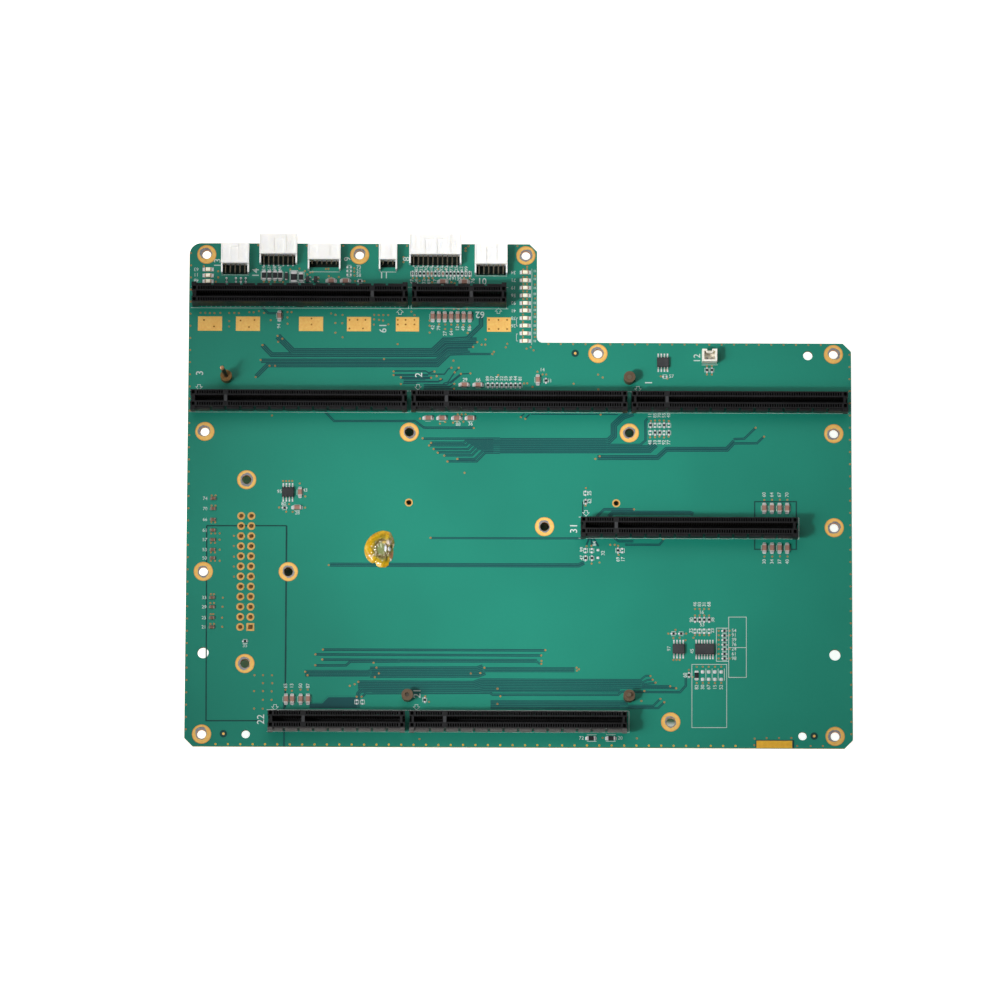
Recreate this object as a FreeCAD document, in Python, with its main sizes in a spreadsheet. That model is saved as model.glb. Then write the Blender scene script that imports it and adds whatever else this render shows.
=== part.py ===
import FreeCAD, Part
import Sketcher
import math
import os

# Backplane circuit board with card edge slots, white wire headers, guide pins
# and small surface parts. Millimetres, +Z out of the component side, +Y towards
# the edge with the wire headers. Origin: centre of the four corner screw holes
# of the main field, on the underside of the board.

V = FreeCAD.Vector
C = Sketcher.Constraint
doc = FreeCAD.newDocument("backplane_board")

# ---------------------------------------------------------------- dimensions
sheet = doc.addObject("Spreadsheet::Sheet", "sizes")
CELLS = [
    ("board_thick", 2.4), ("board_left", -136.85), ("board_right", 137.05),
    ("board_top", 142.2), ("board_step", 100.75), ("board_notch", 7.15),
    ("board_bottom", -67.85), ("corner_round", 4.8), ("corner_cut", 3.4),
    ("inner_round", 2.3),
    ("screw_hole_dia", 3.8), ("screw_rect_long", 259.5), ("screw_rect_short", 125.9),
    ("slot_width", 7.0), ("slot_height", 11.25), ("slot_standoff", 1.3),
    ("slot_long_len", 89.0), ("slot_mid_len", 56.0), ("slot_short_len", 39.0),
    ("slot_pitch", 1.0), ("slot_first", 3.0), ("slot_second", 16.0),
    ("slot_key", 14.5), ("slot_key_width", 1.7), ("slot_mouth", 2.2),
    ("slot_depth", 8.35), ("slot_end_wall", 2.0),
    ("window_len", 0.62), ("window_width", 1.4), ("window_in", 1.7),
    ("rail_height", 1.05), ("channel_floor", 2.5),
    ("ledge_out", 1.0), ("ledge_low", 5.5), ("ledge_high", 10.2),
    ("ledge_notch", 1.0), ("ledge_notch_pitch", 6.0), ("foot_out", 1.4),
    ("contact_width", 0.5), ("contact_thick", 0.25),
    ("head_pitch", 2.0), ("head_side", 3.55), ("head_height", 5.6),
    ("head_wall", 0.9), ("head_back", 1.4), ("head_long", 8.45), ("head_short", 6.6),
    ("head_leg_long", 3.6), ("head_leg_short", 3.9), ("head_leg_wall", 0.65),
    ("head_leg_height", 4.4), ("head_pin", 0.5), ("head_pin_level", 2.6),
    ("up_head_len", 6.2), ("up_head_width", 5.2), ("up_head_height", 5.5),
    ("power_pitch", 4.2), ("power_len", 51.6), ("power_width", 9.6),
    ("power_height", 12.8), ("power_hole", 3.5), ("power_hole_depth", 9.6),
    ("power_pin", 1.07),
    ("collar_dia", 4.75), ("collar_height", 5.5), ("guide_dia", 1.7),
    ("chip_eight_len", 4.9), ("chip_eight_width", 3.9), ("chip_eight_height", 1.45),
    ("chip_many_len", 7.9), ("chip_many_width", 4.3), ("chip_many_height", 1.6),
    ("lead_width", 0.42), ("lead_pitch_eight", 1.27), ("lead_pitch_many", 1.14),
    ("led_len", 3.2), ("led_width", 1.6), ("led_base", 0.4), ("led_lens", 0.6),
    ("cap_len", 3.2), ("cap_width", 1.6), ("cap_height", 1.25), ("cap_end", 0.5),
    ("res_len", 3.2), ("res_width", 1.6), ("res_height", 0.55), ("res_end", 0.45),
    ("small_len", 2.0), ("small_width", 1.25), ("small_height", 0.8), ("small_end", 0.4),
    ("shunt_len", 4.4), ("shunt_width", 2.4), ("shunt_height", 0.8), ("shunt_end", 0.9),
    ("tiny_len", 1.6), ("tiny_width", 0.8), ("tiny_height", 0.45), ("tiny_end", 0.3),
    ("big_len", 3.3), ("big_width", 1.7), ("big_height", 0.7), ("big_end", 0.55),
    ("tiny_black_len", 2.4), ("tiny_black_width", 1.5), ("tiny_black_height", 1.0),
    ("tape_long", 14.6), ("tape_short", 12.8), ("tape_thick", 0.3),
]
for i, (alias, value) in enumerate(CELLS, 1):
    sheet.set("A%d" % i, alias)
    sheet.set("B%d" % i, str(value))
    sheet.setAlias("B%d" % i, alias)
doc.recompute()


def S(alias):
    return float(sheet.get(alias))


def E(text):
    # an expression that reads the sheet: names in braces become cell references
    out = text
    for alias, _ in sorted(CELLS, key=lambda c: -len(c[0])):
        out = out.replace("{" + alias + "}", "sizes." + alias)
    return out


TOP = S("board_thick")
nodes = []


def keep(obj, name):
    obj.Label = name
    nodes.append(obj)
    return obj


# ------------------------------------------------------------------- helpers
def new_body(name):
    return doc.addObject("PartDesign::Body", name)


def plane(body, role):
    for o in body.Origin.OriginFeatures:
        if o.Role == role:
            return o
    raise RuntimeError(role)


def sketch(body, name, role="XY_Plane", level=None):
    sk = body.newObject("Sketcher::SketchObject", name)
    sk.AttachmentSupport = (plane(body, role), [""])
    sk.MapMode = "FlatFace"
    if level is not None:
        sk.setExpression("AttachmentOffset.Base.z", E(level))
    return sk


def rect(sk, x, y, w, d, ew=None, ed=None):
    g = sk.GeometryCount
    p = [V(x, y, 0), V(x + w, y, 0), V(x + w, y + d, 0), V(x, y + d, 0)]
    sk.addGeometry([Part.LineSegment(p[i], p[(i + 1) % 4]) for i in range(4)], False)
    for i in range(4):
        sk.addConstraint(C("Coincident", g + i, 2, g + (i + 1) % 4, 1))
    sk.addConstraint([C("Horizontal", g), C("Horizontal", g + 2), C("Vertical", g + 1), C("Vertical", g + 3)])
    sk.addConstraint(C("DistanceX", -1, 1, g, 1, x))
    sk.addConstraint(C("DistanceY", -1, 1, g, 1, y))
    cw = sk.addConstraint(C("DistanceX", g, 1, g, 2, w))
    cd = sk.addConstraint(C("DistanceY", g + 1, 1, g + 1, 2, d))
    if ew:
        sk.setExpression("Constraints[%d]" % cw, E(ew))
    if ed:
        sk.setExpression("Constraints[%d]" % cd, E(ed))


def polygon(sk, pts):
    n = len(pts)
    sk.addGeometry([Part.LineSegment(V(*pts[i], 0), V(*pts[(i + 1) % n], 0)) for i in range(n)], False)


def circles(sk, pts, dia, expr=None):
    for (x, y) in pts:
        g = sk.addGeometry(Part.Circle(V(x, y, 0), V(0, 0, 1), dia / 2.0), False)
        c = sk.addConstraint(C("Diameter", g, dia))
        if expr:
            sk.setExpression("Constraints[%d]" % c, E(expr))


def pad(body, name, sk, length):
    f = body.newObject("PartDesign::Pad", name)
    f.Profile = sk
    f.setExpression("Length", E(length))
    sk.Visibility = False
    body.Tip = f
    return f


def pocket(body, name, sk, length, back=False):
    f = body.newObject("PartDesign::Pocket", name)
    f.Profile = sk
    f.setExpression("Length", E(length))
    if back:
        f.Reversed = True
    sk.Visibility = False
    body.Tip = f
    return f


def row(body, name, originals, sk, count, span, axis="H_Axis"):
    f = body.newObject("PartDesign::LinearPattern", name)
    f.Originals = originals
    f.Direction = (sk, [axis])
    f.Length = span
    f.Occurrences = count
    f.Refine = False
    body.Tip = f
    return f


def strip(path, thick):
    # outline of a bent strip of even thickness along a run of points
    n = len(path)
    left, right = [], []
    for i in range(n):
        a = path[max(i - 1, 0)]
        b = path[i]
        c = path[min(i + 1, n - 1)]
        d1 = (b[0] - a[0], b[1] - a[1]) if i else (c[0] - b[0], c[1] - b[1])
        d2 = (c[0] - b[0], c[1] - b[1]) if i < n - 1 else d1
        l1 = math.hypot(*d1)
        l2 = math.hypot(*d2)
        n1 = (-d1[1] / l1, d1[0] / l1)
        n2 = (-d2[1] / l2, d2[0] / l2)
        m = (n1[0] + n2[0], n1[1] + n2[1])
        k = thick / (m[0] * n1[0] + m[1] * n1[1]) / 2.0
        left.append((b[0] + m[0] * k, b[1] + m[1] * k))
        right.append((b[0] - m[0] * k, b[1] - m[1] * k))
    return left + right[::-1]


def blade(name, path, thick, width):
    # a flat strip bent in the YZ plane, centred on X = 0
    body = new_body(name)
    sk = sketch(body, name + "_outline", "YZ_Plane", "-%s / 2" % width)
    polygon(sk, strip(path, S(thick)))
    pad(body, name + "_pad", sk, width)
    return body


def group(name, shapes):
    f = doc.addObject("Part::Feature", name)
    f.Shape = Part.makeCompound(shapes)
    return keep(f, name)


def placed(shape, x, y, z, turn=0.0):
    s = shape.copy()
    s.Placement = FreeCAD.Placement(V(x, y, z), FreeCAD.Rotation(V(0, 0, 1), turn))
    return s


# --------------------------------------------------------------------- board
SCREW_HOLES = [
    (-129.75, 137.45), (-66.4, 137.45), (2.5, 137.45), (32.4, 96.2), (129.75, 96.2),
    (-129.75, 62.95), (-45.4, 62.95), (45.4, 62.95), (129.75, 62.95), (-112.3, 42.8),
    (10.5, 23.65), (129.75, 23.65), (-129.75, 4.5), (-94.8, 4.5), (-112.3, -33.7),
    (62.4, -57.25), (-129.75, -62.95), (129.75, -62.95)]
PLAIN_HOLES = [((119.2, 95.75), 3.9), ((-129.5, -29.25), 4.6), ((129.85, -29.25), 4.6),
               ((-111.7, -62.85), 3.45), ((116.4, -62.85), 3.45)]
SMALL_PLATED = [(-45.4, 33.5), (40.0, 33.5)]
POWER_AT = (-112.3, 4.55)
GUIDES = [(-121.0, 85.5), (45.4, 85.5), (-45.5, -47.0), (45.3, -47.0)]
# wire headers: centre x, back wall y, ways, long body
HEADERS = {
    "five_way": (-117.83, 132.9, 5, True),
    "seven_way": (-99.98, 136.85, 7, True),
    "left_six_way": (-80.98, 134.6, 6, False),
    "three_way": (-54.58, 134.65, 3, False),
    "ten_way": (-35.0, 136.85, 10, True),
    "right_six_way": (-11.88, 132.9, 6, True),
}
PIN_DROP_LONG = -3.25
PIN_DROP_SHORT = -1.25
UPRIGHT_AT = (78.45, 94.8)
UPRIGHT_PINS = [(77.45, 94.0), (79.45, 94.0)]


def header_pins(key):
    x, y, n, long_body = HEADERS[key]
    drop = PIN_DROP_LONG if long_body else PIN_DROP_SHORT
    p = S("head_pitch")
    return [(x + (i - (n - 1) / 2.0) * p, y + drop) for i in range(n)]


def power_pins():
    p = S("power_pitch")
    return [(POWER_AT[0] + sx * p / 2.0, POWER_AT[1] + (j - 5.5) * p) for sx in (-1, 1) for j in range(12)]


board = new_body("board")
L, R, T = S("board_left"), S("board_right"), S("board_top")
ST, NO, B = S("board_step"), S("board_notch"), S("board_bottom")
cr, cc, ir = S("corner_round"), S("corner_cut"), S("inner_round")
sk = sketch(board, "board_outline")


def arc(cx, cy, r, a0, a1):
    am = (a0 + a1) / 2.0
    pt = lambda a: V(cx + r * math.cos(math.radians(a)), cy + r * math.sin(math.radians(a)), 0)
    return Part.Arc(pt(a0), pt(am), pt(a1))


def seg(a, b):
    return Part.LineSegment(V(a[0], a[1], 0), V(b[0], b[1], 0))


c2 = 3.1
sk.addGeometry([
    seg((L + cc, B), (R - cc, B)), seg((R - cc, B), (R, B + cc)),
    seg((R, B + cc), (R, ST - cc)), seg((R, ST - cc), (R - cc, ST)),
    seg((R - cc, ST), (NO + ir, ST)), arc(NO + ir, ST + ir, ir, 270, 180),
    seg((NO, ST + ir), (NO, T - c2)), seg((NO, T - c2), (NO - c2, T)),
    seg((NO - c2, T), (L + cr, T)), arc(L + cr, T - cr, cr, 90, 180),
    seg((L, T - cr), (L, B + cc)), seg((L, B + cc), (L + cc, B)),
], False)
pad(board, "board_pad", sk, "{board_thick}")
hs = sketch(board, "screw_holes", level="{board_thick}")
circles(hs, SCREW_HOLES, S("screw_hole_dia"), "{screw_hole_dia}")
pocket(board, "screw_hole_cut", hs, "{board_thick}")
hs = sketch(board, "plain_holes", level="{board_thick}")
for pt, d in PLAIN_HOLES:
    circles(hs, [pt], d)
circles(hs, SMALL_PLATED, 2.0)
pocket(board, "plain_hole_cut", hs, "{board_thick}")
hs = sketch(board, "pin_holes", level="{board_thick}")
circles(hs, power_pins(), 1.62)
circles(hs, GUIDES, 1.8)
for key in HEADERS:
    circles(hs, header_pins(key), 0.8)
circles(hs, UPRIGHT_PINS, 0.8)
pocket(board, "pin_hole_cut", hs, "{board_thick}")
keep(board, "board")


# ----------------------------------------------------------------- card slots
def slot_body(name, length_cell, second_count, notch_first, notch_count):
    b = new_body(name)
    ln = S(length_cell)
    hw = S("slot_width") / 2.0
    ew = S("slot_end_wall")
    key, kw = S("slot_key"), S("slot_key_width")
    # main block on its stand-offs
    s1 = sketch(b, name + "_block", level="{slot_standoff}")
    rect(s1, 0, -hw, ln, 2 * hw, "{%s}" % length_cell, "{slot_width}")
    pad(b, name + "_block_pad", s1, "{slot_height} - {slot_standoff}")
    s2 = sketch(b, name + "_feet")
    for x0 in (0.0, ln - 2.4):
        rect(s2, x0, -hw, 2.4, 1.1)
        rect(s2, x0, hw - 1.1, 2.4, 1.1)
    rect(s2, ln / 2.0 - 1.5, -hw, 3.0, 0.36)
    rect(s2, ln / 2.0 - 1.5, hw - 0.36, 3.0, 0.36)
    pad(b, name + "_feet_pad", s2, "{slot_standoff}")
    # side ledge with notches, and the two end blocks beside it
    s3 = sketch(b, name + "_ledge", level="{ledge_low}")
    rect(s3, ew, -hw - S("ledge_out"), ln - 2 * ew, S("ledge_out"), None, "{ledge_out}")
    pad(b, name + "_ledge_pad", s3, "{ledge_high} - {ledge_low}")
    s4 = sketch(b, name + "_ends", level="{ledge_low}")
    rect(s4, 0, -hw - S("foot_out"), ew, S("foot_out"), "{slot_end_wall}", "{foot_out}")
    rect(s4, ln - ew, -hw - S("foot_out"), ew, S("foot_out"), "{slot_end_wall}", "{foot_out}")
    pad(b, name + "_ends_pad", s4, "{slot_height} - {ledge_low}")
    s5 = sketch(b, name + "_notch", level="{ledge_high}")
    nw = S("ledge_notch")
    rect(s5, notch_first - nw / 2, -hw - S("ledge_out") - 0.2, nw, S("ledge_out") + 0.2, "{ledge_notch}")
    p5 = pocket(b, name + "_notch_cut", s5, "{ledge_high} - {ledge_low}")
    row(b, name + "_notch_row", [p5], s5, notch_count, (notch_count - 1) * S("ledge_notch_pitch"))
    # card slot, split by the key, with a lead-in chamfer
    mw = S("slot_mouth")
    s6 = sketch(b, name + "_card", level="{slot_height}")
    rect(s6, ew, -mw / 2, key - kw / 2 - ew, mw, None, "{slot_mouth}")
    rect(s6, key + kw / 2, -mw / 2, ln - ew - key - kw / 2, mw, None, "{slot_mouth}")
    pocket(b, name + "_card_cut", s6, "{slot_depth}")
    doc.recompute()
    f = b.Tip
    names = []
    for i, e in enumerate(f.Shape.Edges, 1):
        bb = e.BoundBox
        if abs(bb.ZMin - S("slot_height")) < 1e-6 and bb.ZLength < 1e-6 and abs(bb.YMin) < mw / 2 + 1e-6 \
                and abs(bb.YMax) < mw / 2 + 1e-6 and bb.XMin > ew - 1e-6 and bb.XMax < ln - ew + 1e-6:
            names.append("Edge%d" % i)
    ch = b.newObject("PartDesign::Chamfer", name + "_lead_in")
    ch.Base = (f, names)
    ch.Size = 0.12
    b.Tip = ch
    # square end windows and the grooves in the end faces
    s7 = sketch(b, name + "_end_windows", level="{slot_height}")
    for x0 in (0.5, ln - 1.8):
        rect(s7, x0, S("window_in"), 1.3, S("window_width"))
        rect(s7, x0, -S("window_in") - S("window_width"), 1.3, S("window_width"))
    pocket(b, name + "_end_window_cut", s7, "4")
    s8 = sketch(b, name + "_end_grooves", level="{slot_height}")
    rect(s8, -0.2, -1.25, 1.2, 2.5)
    rect(s8, ln - 1.0, -1.25, 1.2, 2.5)
    pocket(b, name + "_end_groove_cut", s8, "8")
    # rows of contact windows, open to the card slot under the inner rail
    wl, ww, wi = S("window_len"), S("window_width"), S("window_in")
    for tag, first, count in (("a", S("slot_first"), 11), ("b", S("slot_second"), second_count)):
        s9 = sketch(b, name + "_windows_" + tag, level="{slot_height}")
        rect(s9, first - wl / 2, wi, wl, ww, "{window_len}", "{window_width}")
        rect(s9, first - wl / 2, -wi - ww, wl, ww, "{window_len}", "{window_width}")
        pw = pocket(b, name + "_windows_cut_" + tag, s9, "{slot_height} - {slot_standoff} + 0.5")
        s10 = sketch(b, name + "_channels_" + tag, level="{slot_height} - {rail_height}")
        rect(s10, first - wl / 2, mw / 2 - 0.05, wl, wi - mw / 2 + 0.1, "{window_len}")
        rect(s10, first - wl / 2, -wi - 0.05, wl, wi - mw / 2 + 0.1, "{window_len}")
        pc = pocket(b, name + "_channels_cut_" + tag, s10, "{slot_height} - {rail_height} - {channel_floor}")
        row(b, name + "_window_row_" + tag, [pw, pc], s9, count, (count - 1) * S("slot_pitch"))
    doc.recompute()
    return b


long_slot = slot_body("long_slot", "slot_long_len", 71, 8.5, 13)
mid_slot = slot_body("mid_slot", "slot_mid_len", 38, 6.6, 8)
short_slot = slot_body("short_slot", "slot_short_len", 21, 8.5, 4)

# contacts: a tail on the board, a spring leaning into the card slot, a tip under
# the rail. Tails stand in two staggered rows on each side.
outer = blade("contact_outer", [(2.95, 0.0), (2.95, 2.3), (2.55, 3.2), (1.3, 6.6), (0.72, 8.2), (1.35, 9.8)],
              "contact_thick", "{contact_width}")
inner = blade("contact_inner", [(1.9, 0.0), (1.9, 1.9), (2.45, 2.9), (2.55, 3.2), (1.3, 6.6), (0.72, 8.2), (1.35, 9.8)],
              "contact_thick", "{contact_width}")
doc.recompute()


def contact_set(second_count):
    xs = [S("slot_first") + i for i in range(11)] + [S("slot_second") + i for i in range(second_count)]
    out = []
    for k, x in enumerate(xs):
        a, b = (outer, inner) if k % 2 else (inner, outer)
        out.append(placed(a.Shape, x, 0, 0))
        out.append(placed(b.Shape, x, 0, 0, 180))
    return Part.makeCompound(out)


sets = {"long": contact_set(71), "mid": contact_set(38), "short": contact_set(21)}
bodies = {"long": long_slot, "mid": mid_slot, "short": short_slot}
# name: kind, x of the first contact's end, centre line y, half turn
SLOTS = {
    "upper_long_slot": ("long", -46.35, 118.9, 180),
    "upper_short_slot": ("short", -5.5, 118.9, 180),
    "left_slot": ("long", -135.4, 75.1, 0),
    "middle_slot": ("long", -44.55, 75.1, 0),
    "right_slot": ("long", 46.2, 75.1, 0),
    "inner_slot": ("long", 25.35, 22.6, 0),
    "lower_short_slot": ("mid", -102.4, -57.9, 0),
    "lower_long_slot": ("long", -44.6, -57.9, 0),
}
for key, (kind, x, y, turn) in SLOTS.items():
    h = doc.addObject("Part::Feature", key + "_housing")
    h.Shape = placed(bodies[kind].Shape, 0, 0, 0)
    h.Placement = FreeCAD.Placement(V(x, y, TOP), FreeCAD.Rotation(V(0, 0, 1), turn))
    keep(h, key + "_housing")
    k = doc.addObject("Part::Feature", key + "_contacts")
    k.Shape = sets[kind].copy()
    k.Placement = FreeCAD.Placement(V(x, y, TOP), FreeCAD.Rotation(V(0, 0, 1), turn))
    keep(k, key + "_contacts")


# ------------------------------------------------------- right-angle headers
def header_body(name, n, long_body, centre_slots):
    b = new_body(name)
    w = S("head_pitch") * (n - 1) + S("head_side")
    ln_cell = "head_long" if long_body else "head_short"
    leg_cell = "head_leg_long" if long_body else "head_leg_short"
    ln, leg = S(ln_cell), S(leg_cell)
    hgt, wall = S("head_height"), S("head_wall")
    wexp = "{head_pitch} * %d + {head_side}" % (n - 1)
    s1 = sketch(b, name + "_block")
    rect(s1, -w / 2, 0, w, ln, wexp, "{%s}" % ln_cell)
    pad(b, name + "_block_pad", s1, "{head_height}")
    s2 = sketch(b, name + "_legs")
    lw = S("head_leg_wall")
    rect(s2, -w / 2, -leg, lw, leg, "{head_leg_wall}", "{%s}" % leg_cell)
    rect(s2, w / 2 - lw, -leg, lw, leg, "{head_leg_wall}", "{%s}" % leg_cell)
    pad(b, name + "_legs_pad", s2, "{head_leg_height}")
    # the mouth for the plug, open at the front
    s3 = sketch(b, name + "_mouth", "XZ_Plane", "-{%s}" % ln_cell)
    rect(s3, -w / 2 + wall, wall, w - 2 * wall, hgt - 2 * wall, None, "{head_height} - 2 * {head_wall}")
    pocket(b, name + "_mouth_cut", s3, "{%s} - {head_back}" % ln_cell, back=True)
    # shallow panels and latch slots in the roof
    s4 = sketch(b, name + "_panels", level="{head_height}")
    pw = 3.5 if n > 3 else 1.7
    p_end = 0.9
    rect(s4, -w / 2 + 0.45, p_end, pw, ln - p_end + 0.2)
    rect(s4, w / 2 - 0.95 - pw, p_end, pw, ln - p_end + 0.2)
    pocket(b, name + "_panels_cut", s4, "0.4")
    if centre_slots:
        s5 = sketch(b, name + "_latch", level="{head_height}")
        for (x0, x1, y1) in centre_slots:
            rect(s5, x0, 0.35, x1 - x0, y1 - 0.35)
        pocket(b, name + "_latch_cut", s5, "0.45")
    # square holes for the pins through the back wall
    s6 = sketch(b, name + "_pin_holes", "XZ_Plane", "-{head_back} - 0.3")
    hp = S("head_pin") + 0.04
    rect(s6, -S("head_pitch") * (n - 1) / 2.0 - hp / 2, S("head_pin_level") - hp / 2, hp, hp)
    p6 = pocket(b, name + "_pin_hole_cut", s6, "{head_back} + 0.6", back=True)
    if n > 1:
        row(b, name + "_pin_hole_row", [p6], s6, n, (n - 1) * S("head_pitch"))
    doc.recompute()
    return b


LATCH = {
    "five_way": [(-1.75, 1.25, 6.8)],
    "seven_way": [(-1.7, 2.4, 6.5)],
    "left_six_way": [],
    "three_way": [],
    "ten_way": [(-4.3, -0.7, 6.5), (0.7, 4.4, 6.5)],
    "right_six_way": [(-1.95, 2.0, 6.6)],
}
# bent pins, from inside the mouth, back through the wall and down into the board
tail = -(TOP + 0.7)
lv = S("head_pin_level")
bent_long = blade("bent_pin_long", [(S("head_long") - 1.6, lv), (PIN_DROP_LONG, lv), (PIN_DROP_LONG, tail)],
                  "head_pin", "{head_pin}")
bent_short = blade("bent_pin_short", [(S("head_short") - 1.4, lv), (PIN_DROP_SHORT, lv), (PIN_DROP_SHORT, tail)],
                   "head_pin", "{head_pin}")
doc.recompute()
for key, (x, y, n, long_body) in HEADERS.items():
    b = header_body(key + "_header_housing", n, long_body, LATCH[key])
    b.Placement = FreeCAD.Placement(V(x, y, TOP), FreeCAD.Rotation())
    keep(b, key + "_header_housing")
    src = (bent_long if long_body else bent_short).Shape
    p = S("head_pitch")
    group(key + "_header_pins", [placed(src, x + (i - (n - 1) / 2.0) * p, y, TOP) for i in range(n)])

# ------------------------------------------------------------ upright header
up = new_body("upright_header_housing")
ul, uw, uh = S("up_head_len"), S("up_head_width"), S("up_head_height")
s1 = sketch(up, "upright_block")
rect(s1, -ul / 2, -uw / 2, ul, uw, "{up_head_len}", "{up_head_width}")
pad(up, "upright_block_pad", s1, "{up_head_height}")
s2 = sketch(up, "upright_cavity", level="{up_head_height}")
rect(s2, -ul / 2 + 0.9, -uw / 2 + 0.75, ul - 1.8, uw - 2.35)
pocket(up, "upright_cavity_cut", s2, "4.2")
s3 = sketch(up, "upright_notch", level="{up_head_height}")
rect(s3, -1.05, uw / 2 - 1.15, 2.1, 1.4)
pocket(up, "upright_notch_cut", s3, "4.2")
s4 = sketch(up, "upright_corner_slots", level="{up_head_height}")
rect(s4, -ul / 2 + 0.9, uw / 2 - 1.75, 0.75, 0.95)
rect(s4, ul / 2 - 1.65, uw / 2 - 1.75, 0.75, 0.95)
pocket(up, "upright_corner_cut", s4, "4.2")
s5 = sketch(up, "upright_pin_holes", level="{up_head_height}")
for (px, py) in UPRIGHT_PINS:
    rect(s5, px - UPRIGHT_AT[0] - 0.27, py - UPRIGHT_AT[1] - 0.27, 0.54, 0.54)
pocket(up, "upright_pin_hole_cut", s5, "{up_head_height} + 0.2")
up.Placement = FreeCAD.Placement(V(UPRIGHT_AT[0], UPRIGHT_AT[1], TOP), FreeCAD.Rotation())
keep(up, "upright_header_housing")


def post(name, side_cell, low, high):
    b = new_body(name)
    s = sketch(b, name + "_section", level=low)
    a = S(side_cell)
    rect(s, -a / 2, -a / 2, a, a, "{%s}" % side_cell, "{%s}" % side_cell)
    pad(b, name + "_pad", s, "(%s) - (%s)" % (high, low))
    return b


thin_post = post("thin_post", "head_pin", "-{board_thick} - 0.7", "4")
power_post = post("power_post", "power_pin", "-11", "{board_thick} + 0.8")
doc.recompute()
group("upright_header_pins", [placed(thin_post.Shape, x, y, TOP) for (x, y) in UPRIGHT_PINS])

# --------------------------------------------------- power header, underside
ph = new_body("power_header_housing")
pl, pw = S("power_len"), S("power_width")
s1 = sketch(ph, "power_block", level="-{power_height}")
rect(s1, -pw / 2, -pl / 2, pw, pl, "{power_width}", "{power_len}")
pad(ph, "power_block_pad", s1, "{power_height}")
s2 = sketch(ph, "power_lock", level="-9")
rect(s2, pw / 2, -2.2, 1.1, 4.4)
pad(ph, "power_lock_pad", s2, "5")
s3 = sketch(ph, "power_sockets", level="-{power_height}")
pp, hole = S("power_pitch"), S("power_hole")
for sx in (-1, 1):
    rect(s3, sx * pp / 2 - hole / 2, -5.5 * pp - hole / 2, hole, hole, "{power_hole}", "{power_hole}")
p3 = pocket(ph, "power_socket_cut", s3, "{power_hole_depth}", back=True)
row(ph, "power_socket_row", [p3], s3, 12, 11 * pp, "V_Axis")
s4 = sketch(ph, "power_pin_holes", level="-{power_height}")
a = S("power_pin") + 0.04
for sx in (-1, 1):
    rect(s4, sx * pp / 2 - a / 2, -5.5 * pp - a / 2, a, a)
p4 = pocket(ph, "power_pin_hole_cut", s4, "{power_height} + 0.2", back=True)
row(ph, "power_pin_hole_row", [p4], s4, 12, 11 * pp, "V_Axis")
ph.Placement = FreeCAD.Placement(V(POWER_AT[0], POWER_AT[1], 0), FreeCAD.Rotation())
keep(ph, "power_header_housing")
group("power_header_pins", [placed(power_post.Shape, x, y, 0) for (x, y) in power_pins()])

# ---------------------------------------------------------------- guide pins
collar = new_body("guide_collar")
s1 = sketch(collar, "collar_section")
circles(s1, [(0, 0)], S("collar_dia"), "{collar_dia}")
circles(s1, [(0, 0)], S("guide_dia") + 0.06)
pad(collar, "collar_pad", s1, "{collar_height}")
doc.recompute()
group("guide_collars", [placed(collar.Shape, x, y, TOP) for (x, y) in GUIDES])

gr = S("guide_dia") / 2.0
stub_tops = [None, 0.25, -0.7, 1.3]
stubs = []
for (x, y), up_by in list(zip(GUIDES, stub_tops))[1:]:
    c = doc.addObject("Part::Cylinder", "guide_stub")
    c.setExpression("Radius", E("{guide_dia} / 2"))
    c.setExpression("Height", E("{board_thick} + {collar_height} + 0.8 + %g" % up_by))
    c.Placement = FreeCAD.Placement(V(x, y, -0.8), FreeCAD.Rotation())
    stubs.append(c)
doc.recompute()
group("short_guide_pins", [c.Shape.copy() for c in stubs])

# the long pin leans where it leaves its collar
gx, gy = GUIDES[0]
low = Part.makeCylinder(gr, TOP + S("collar_height") + 0.8, V(gx, gy, -0.8))
z1 = TOP + S("collar_height")
lean = V(-1.35, 1.5, 10.2)
upper = Part.makeCylinder(gr, lean.Length - 0.5, V(gx, gy, z1), lean)
tip_at = V(gx, gy, z1) + lean * ((lean.Length - 0.5) / lean.Length)
tip = Part.makeCone(gr, gr * 0.55, 0.5, tip_at, lean)
ball = Part.makeSphere(gr, V(gx, gy, z1))
pin = low.fuse([upper, tip, ball.common(Part.makeBox(4, 4, 4, V(gx - 2, gy - 2, z1)))]).removeSplitter()
f = doc.addObject("Part::Feature", "bent_guide_pin")
f.Shape = pin
keep(f, "bent_guide_pin")


# -------------------------------------------------------------- small parts
def chip(name, lc, wc, hc):
    b = new_body(name)
    s = sketch(b, name + "_section", level="0.2")
    rect(s, -S(lc) / 2, -S(wc) / 2, S(lc), S(wc), "{%s}" % lc, "{%s}" % wc)
    p = pad(b, name + "_pad", s, "{%s}" % hc)
    doc.recompute()
    zt = 0.2 + S(hc)
    edges = ["Edge%d" % i for i, e in enumerate(p.Shape.Edges, 1)
             if abs(e.BoundBox.ZMin - zt) < 1e-6 and e.BoundBox.ZLength < 1e-6]
    ch = b.newObject("PartDesign::Chamfer", name + "_edge")
    ch.Base = (p, edges)
    ch.Size = 0.22
    b.Tip = ch
    doc.recompute()
    return b


eight = chip("chip_eight", "chip_eight_len", "chip_eight_width", "chip_eight_height")
many = chip("chip_many", "chip_many_len", "chip_many_width", "chip_many_height")


def gull(name, half, reach):
    b = new_body(name)
    s = sketch(b, name + "_outline", "YZ_Plane", "-{lead_width} / 2")
    polygon(s, strip([(half, 0.9), (half + 0.35, 0.9), (half + 0.62, 0.1), (reach, 0.1)], 0.2))
    pad(b, name + "_pad", s, "{lead_width}")
    return b


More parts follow.
